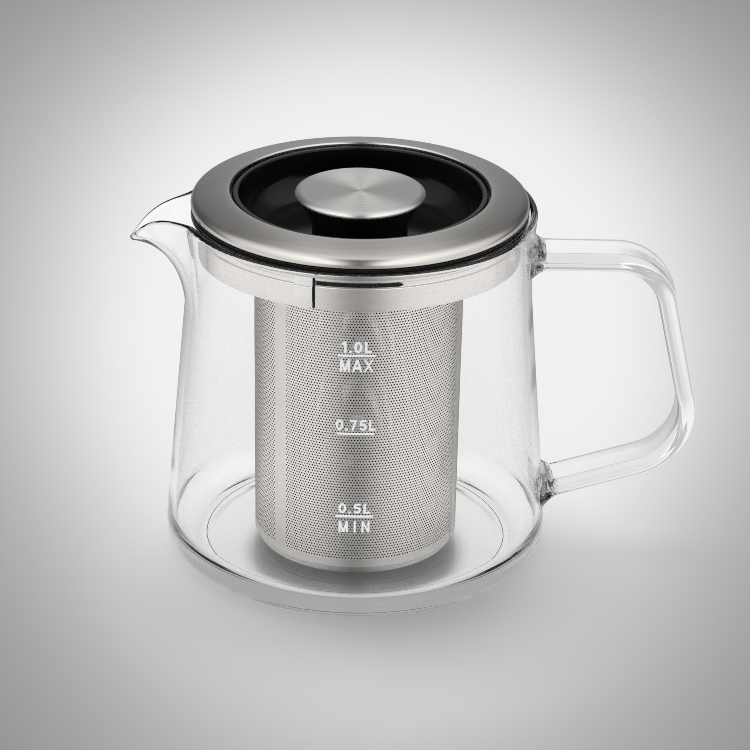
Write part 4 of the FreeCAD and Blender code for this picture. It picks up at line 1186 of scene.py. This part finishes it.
def floor_material():
    """Pale floor with a glow of its own, so that glass and steel show it pale. The ray decides what it shows:
    its level with the painted pool of light; the same through glass, lifted and with a painted shadow under
    the basket; or cards and gaps in mirrors, with painted shade under the jug in steel."""
    material, tree, shader = new_material("studio_floor")
    _, x, y, _ = place_in(tree)
    ray = rays(tree)
    level = floor_colour_and_light_pool(x, y)
    fill(shader, Base_Color=level, Roughness=0.9, Specular_IOR_Level=0.0)

    turn = maths("ARCTAN2", maths("ABSOLUTE", x), y * -1.0) / math.pi
    away = length_of(x, y)
    cards = blended(tree, spread(away, *CARD_FAR), ramp_of(turn, CARD_STOPS), WHITE)
    cards = blended(tree, 1.0, cards, spread(away, *CARD_UNDER), "MULTIPLY")
    mirrored = ray["Glossy Depth"] > ONCE
    dull = maths("SUBTRACT", 1.0, ray["Is Singular Ray"])
    by_steel = larger(ray["Transmission Depth"] > ONE_WALL, (ray["Transmission Depth"] < ONCE) * dull)
    in_glass = larger(ramp_of(turn, GLASS_CARD_STOPS), spread(away, *GLASS_UNDER))
    in_glass = larger(in_glass, (ray["Glossy Depth"] > TWICE) * AGAIN_LEAST)

    # Rays through glass see a painted shadow under the basket, and the floor lifted to at least a level.
    under = length_of(x * SHADE_NARROWING, y + SHADE_FORWARD) * (1 / SHADE_REACH)
    shade = blended(tree, ray["Is Transmission Ray"], WHITE, ramp_of(under, SHADE_STOPS, SHADE_PEAK))
    straight = larger(level, ray["Is Transmission Ray"] * THROUGH_LEAST) * shade
    seen = blended(tree, mirrored, straight, blended(tree, by_steel, in_glass, cards))
    glow = add(tree, "Emission", Color=seen).outputs[0]
    shown = larger(ray["Is Glossy Ray"], ray["Is Transmission Ray"])
    share = larger(ray["Is Camera Ray"] * SEEN_GLOW, shown * SHOWN_GLOW)
    share = larger(share, mirrored * shown * MIRROR_GLOW)
    fill(tree.nodes["Material Output"], Surface=mixed(tree, share, shader.outputs[0], glow))
    return material


def add_floor():
    mesh = bpy.data.meshes.new("floor")
    corners = [(x * FLOOR_HALF, y * FLOOR_HALF, -FLOOR_DROP) for x, y in ((-1, -1), (1, -1), (1, 1), (-1, 1))]
    mesh.from_pydata(corners, [], [[0, 1, 2, 3]])
    floor = linked("floor", mesh)
    mesh.materials.append(floor_material())


# What steel and glass show of the studio. Each arc over the teapot is given as a share of the half turn from
# the horizon at the back over the zenith (0.5), with the levels across it from its middle to the side: a lit
# back wall, a darker gap, soft light overhead, and two soft lights with a dark gap between them, which go on
# to the front.
DOME_ARCS = (
    (0.09, ((0, 0.42), (0.05, 0.4), (0.11, 0.34), (0.2, 0.25), (0.4, 0.17), (0.7, 0.07), (1, 0.15))),
    (0.15, ((0, 0.85), (0.05, 0.7), (0.1, 0.4), (0.16, 0.27), (0.3, 0.18), (0.5, 0.05), (1, 0.2))),
    (0.24, ((0, 0.2), (0.075, 0.55), (0.11, 0.5), (0.145, 0.25), (0.2, 0.18), (0.57, 0.15), (1, 0.45))),
    (0.33, ((0, 0.85), (0.18, 1.15), (0.3, 1.1), (0.5, 0.85), (1, 0.7))),
    (0.42, ((0, 0.66), (0.18, 1.3), (0.4, 1.25), (0.8, 1), (1, 0.7))),
    (0.5, ((0, 0.05), (0.09, 0.18), (0.22, 1.5), (0.35, 1.65), (0.7, 1.2), (1, 0.9))),
)
DOME_LEAN = 0.04
DOME_PEAK = 1.7
THROUGH_GUIDED = 0.58
THROUGH_SOLID = 0.8
AIR_STRENGTH = 0.36


def add_world():
    """Studio air. Matt surfaces get even light. Rays from the camera and from glass and steel see the dome,
    which is never dark to a ray that leaves glass, and least so after few bounces."""
    world = bpy.data.worlds.new("studio")
    bpy.context.scene.world = world
    world.use_nodes = True
    world.cycles.sampling_method = "NONE"
    tree = world.node_tree
    air = fill(tree.nodes["Background"], Color=WHITE, Strength=AIR_STRENGTH)
    _, x, y, z = place_in(tree, "Generated")
    turn = maths("ARCTAN2", z, y) / math.pi + x * DOME_LEAN
    side = maths("ABSOLUTE", x)
    level = ramp_of(side, DOME_ARCS[0][1], DOME_PEAK)
    for (before, _), (after, stops) in zip(DOME_ARCS, DOME_ARCS[1:]):
        reached = spread(turn, 0.0, 1.0, before, after, interpolation_type="SMOOTHSTEP")
        level = blended(tree, reached, level, ramp_of(side, stops, DOME_PEAK))
    ray = rays(tree)
    solid = (ray["Glossy Depth"] < GUIDED) * (ray["Transmission Depth"] < ONE_WALL)
    least = ray["Is Transmission Ray"] * spread(solid, THROUGH_GUIDED, THROUGH_SOLID)
    dome = add(tree, "Background", Strength=1.0, Color=larger(level, least))
    shown = larger(larger(ray["Is Glossy Ray"], ray["Is Transmission Ray"]), ray["Is Camera Ray"])
    fill(tree.nodes["World Output"], Surface=mixed(tree, shown, air.outputs[0], dome.outputs[0]))


LAMP_TARGET = Vector((0, 0, 0.05))
# Name, place, width, height and power of each soft lamp.
LAMPS = (("overhead", (-0.25, 0.65, 2.6), 1.4, 1.1, 44), ("front", (0.0, -1.7, 0.35), 0.8, 0.5, 13))


def add_softbox(name, place, width, height, power):
    """A soft lamp that glass and steel don't show."""
    data = bpy.data.lights.new(name, "AREA")
    data.shape = "RECTANGLE"
    data.size = width
    data.size_y = height
    data.energy = power
    lamp = linked(name, data)
    lamp.location = place
    lamp.rotation_euler = (LAMP_TARGET - Vector(place)).to_track_quat("-Z", "Y").to_euler()
    lamp.visible_glossy = False
    lamp.visible_transmission = False


CAMERA_ELEVATION = math.radians(24.91)
CAMERA_ROLL = math.radians(1.05)
CAMERA_DISTANCE = 1.1011
CAMERA_TARGET = Vector((0.00591, 0, 0.06097))
CAMERA_LENS = 156.1
CAMERA_SENSOR = 36


def add_camera():
    data = bpy.data.cameras.new("camera")
    data.lens = CAMERA_LENS
    data.sensor_width = CAMERA_SENSOR
    camera = linked("camera", data)
    aim = Matrix.Translation(CAMERA_TARGET) @ Matrix.Rotation(math.pi / 2 - CAMERA_ELEVATION, 4, "X")
    back = Matrix.Rotation(CAMERA_ROLL, 4, "Z") @ Matrix.Translation((0, 0, CAMERA_DISTANCE))
    camera.matrix_world = aim @ back
    bpy.context.scene.camera = camera


add_floor()
add_world()
for lamp in LAMPS:
    add_softbox(*lamp)
add_camera()

scene = bpy.context.scene
scene.view_settings.view_transform = "Standard"
scene.cycles.filter_width = 0.9
scene.cycles.use_denoising = True
scene.cycles.denoising_prefilter = "NONE"
scene.cycles.max_bounces = 24
scene.cycles.transmission_bounces = 20
scene.cycles.transparent_max_bounces = 32
scene.cycles.glossy_bounces = 20
scene.cycles.diffuse_bounces = 4
scene.cycles.caustics_reflective = True
scene.cycles.caustics_refractive = False
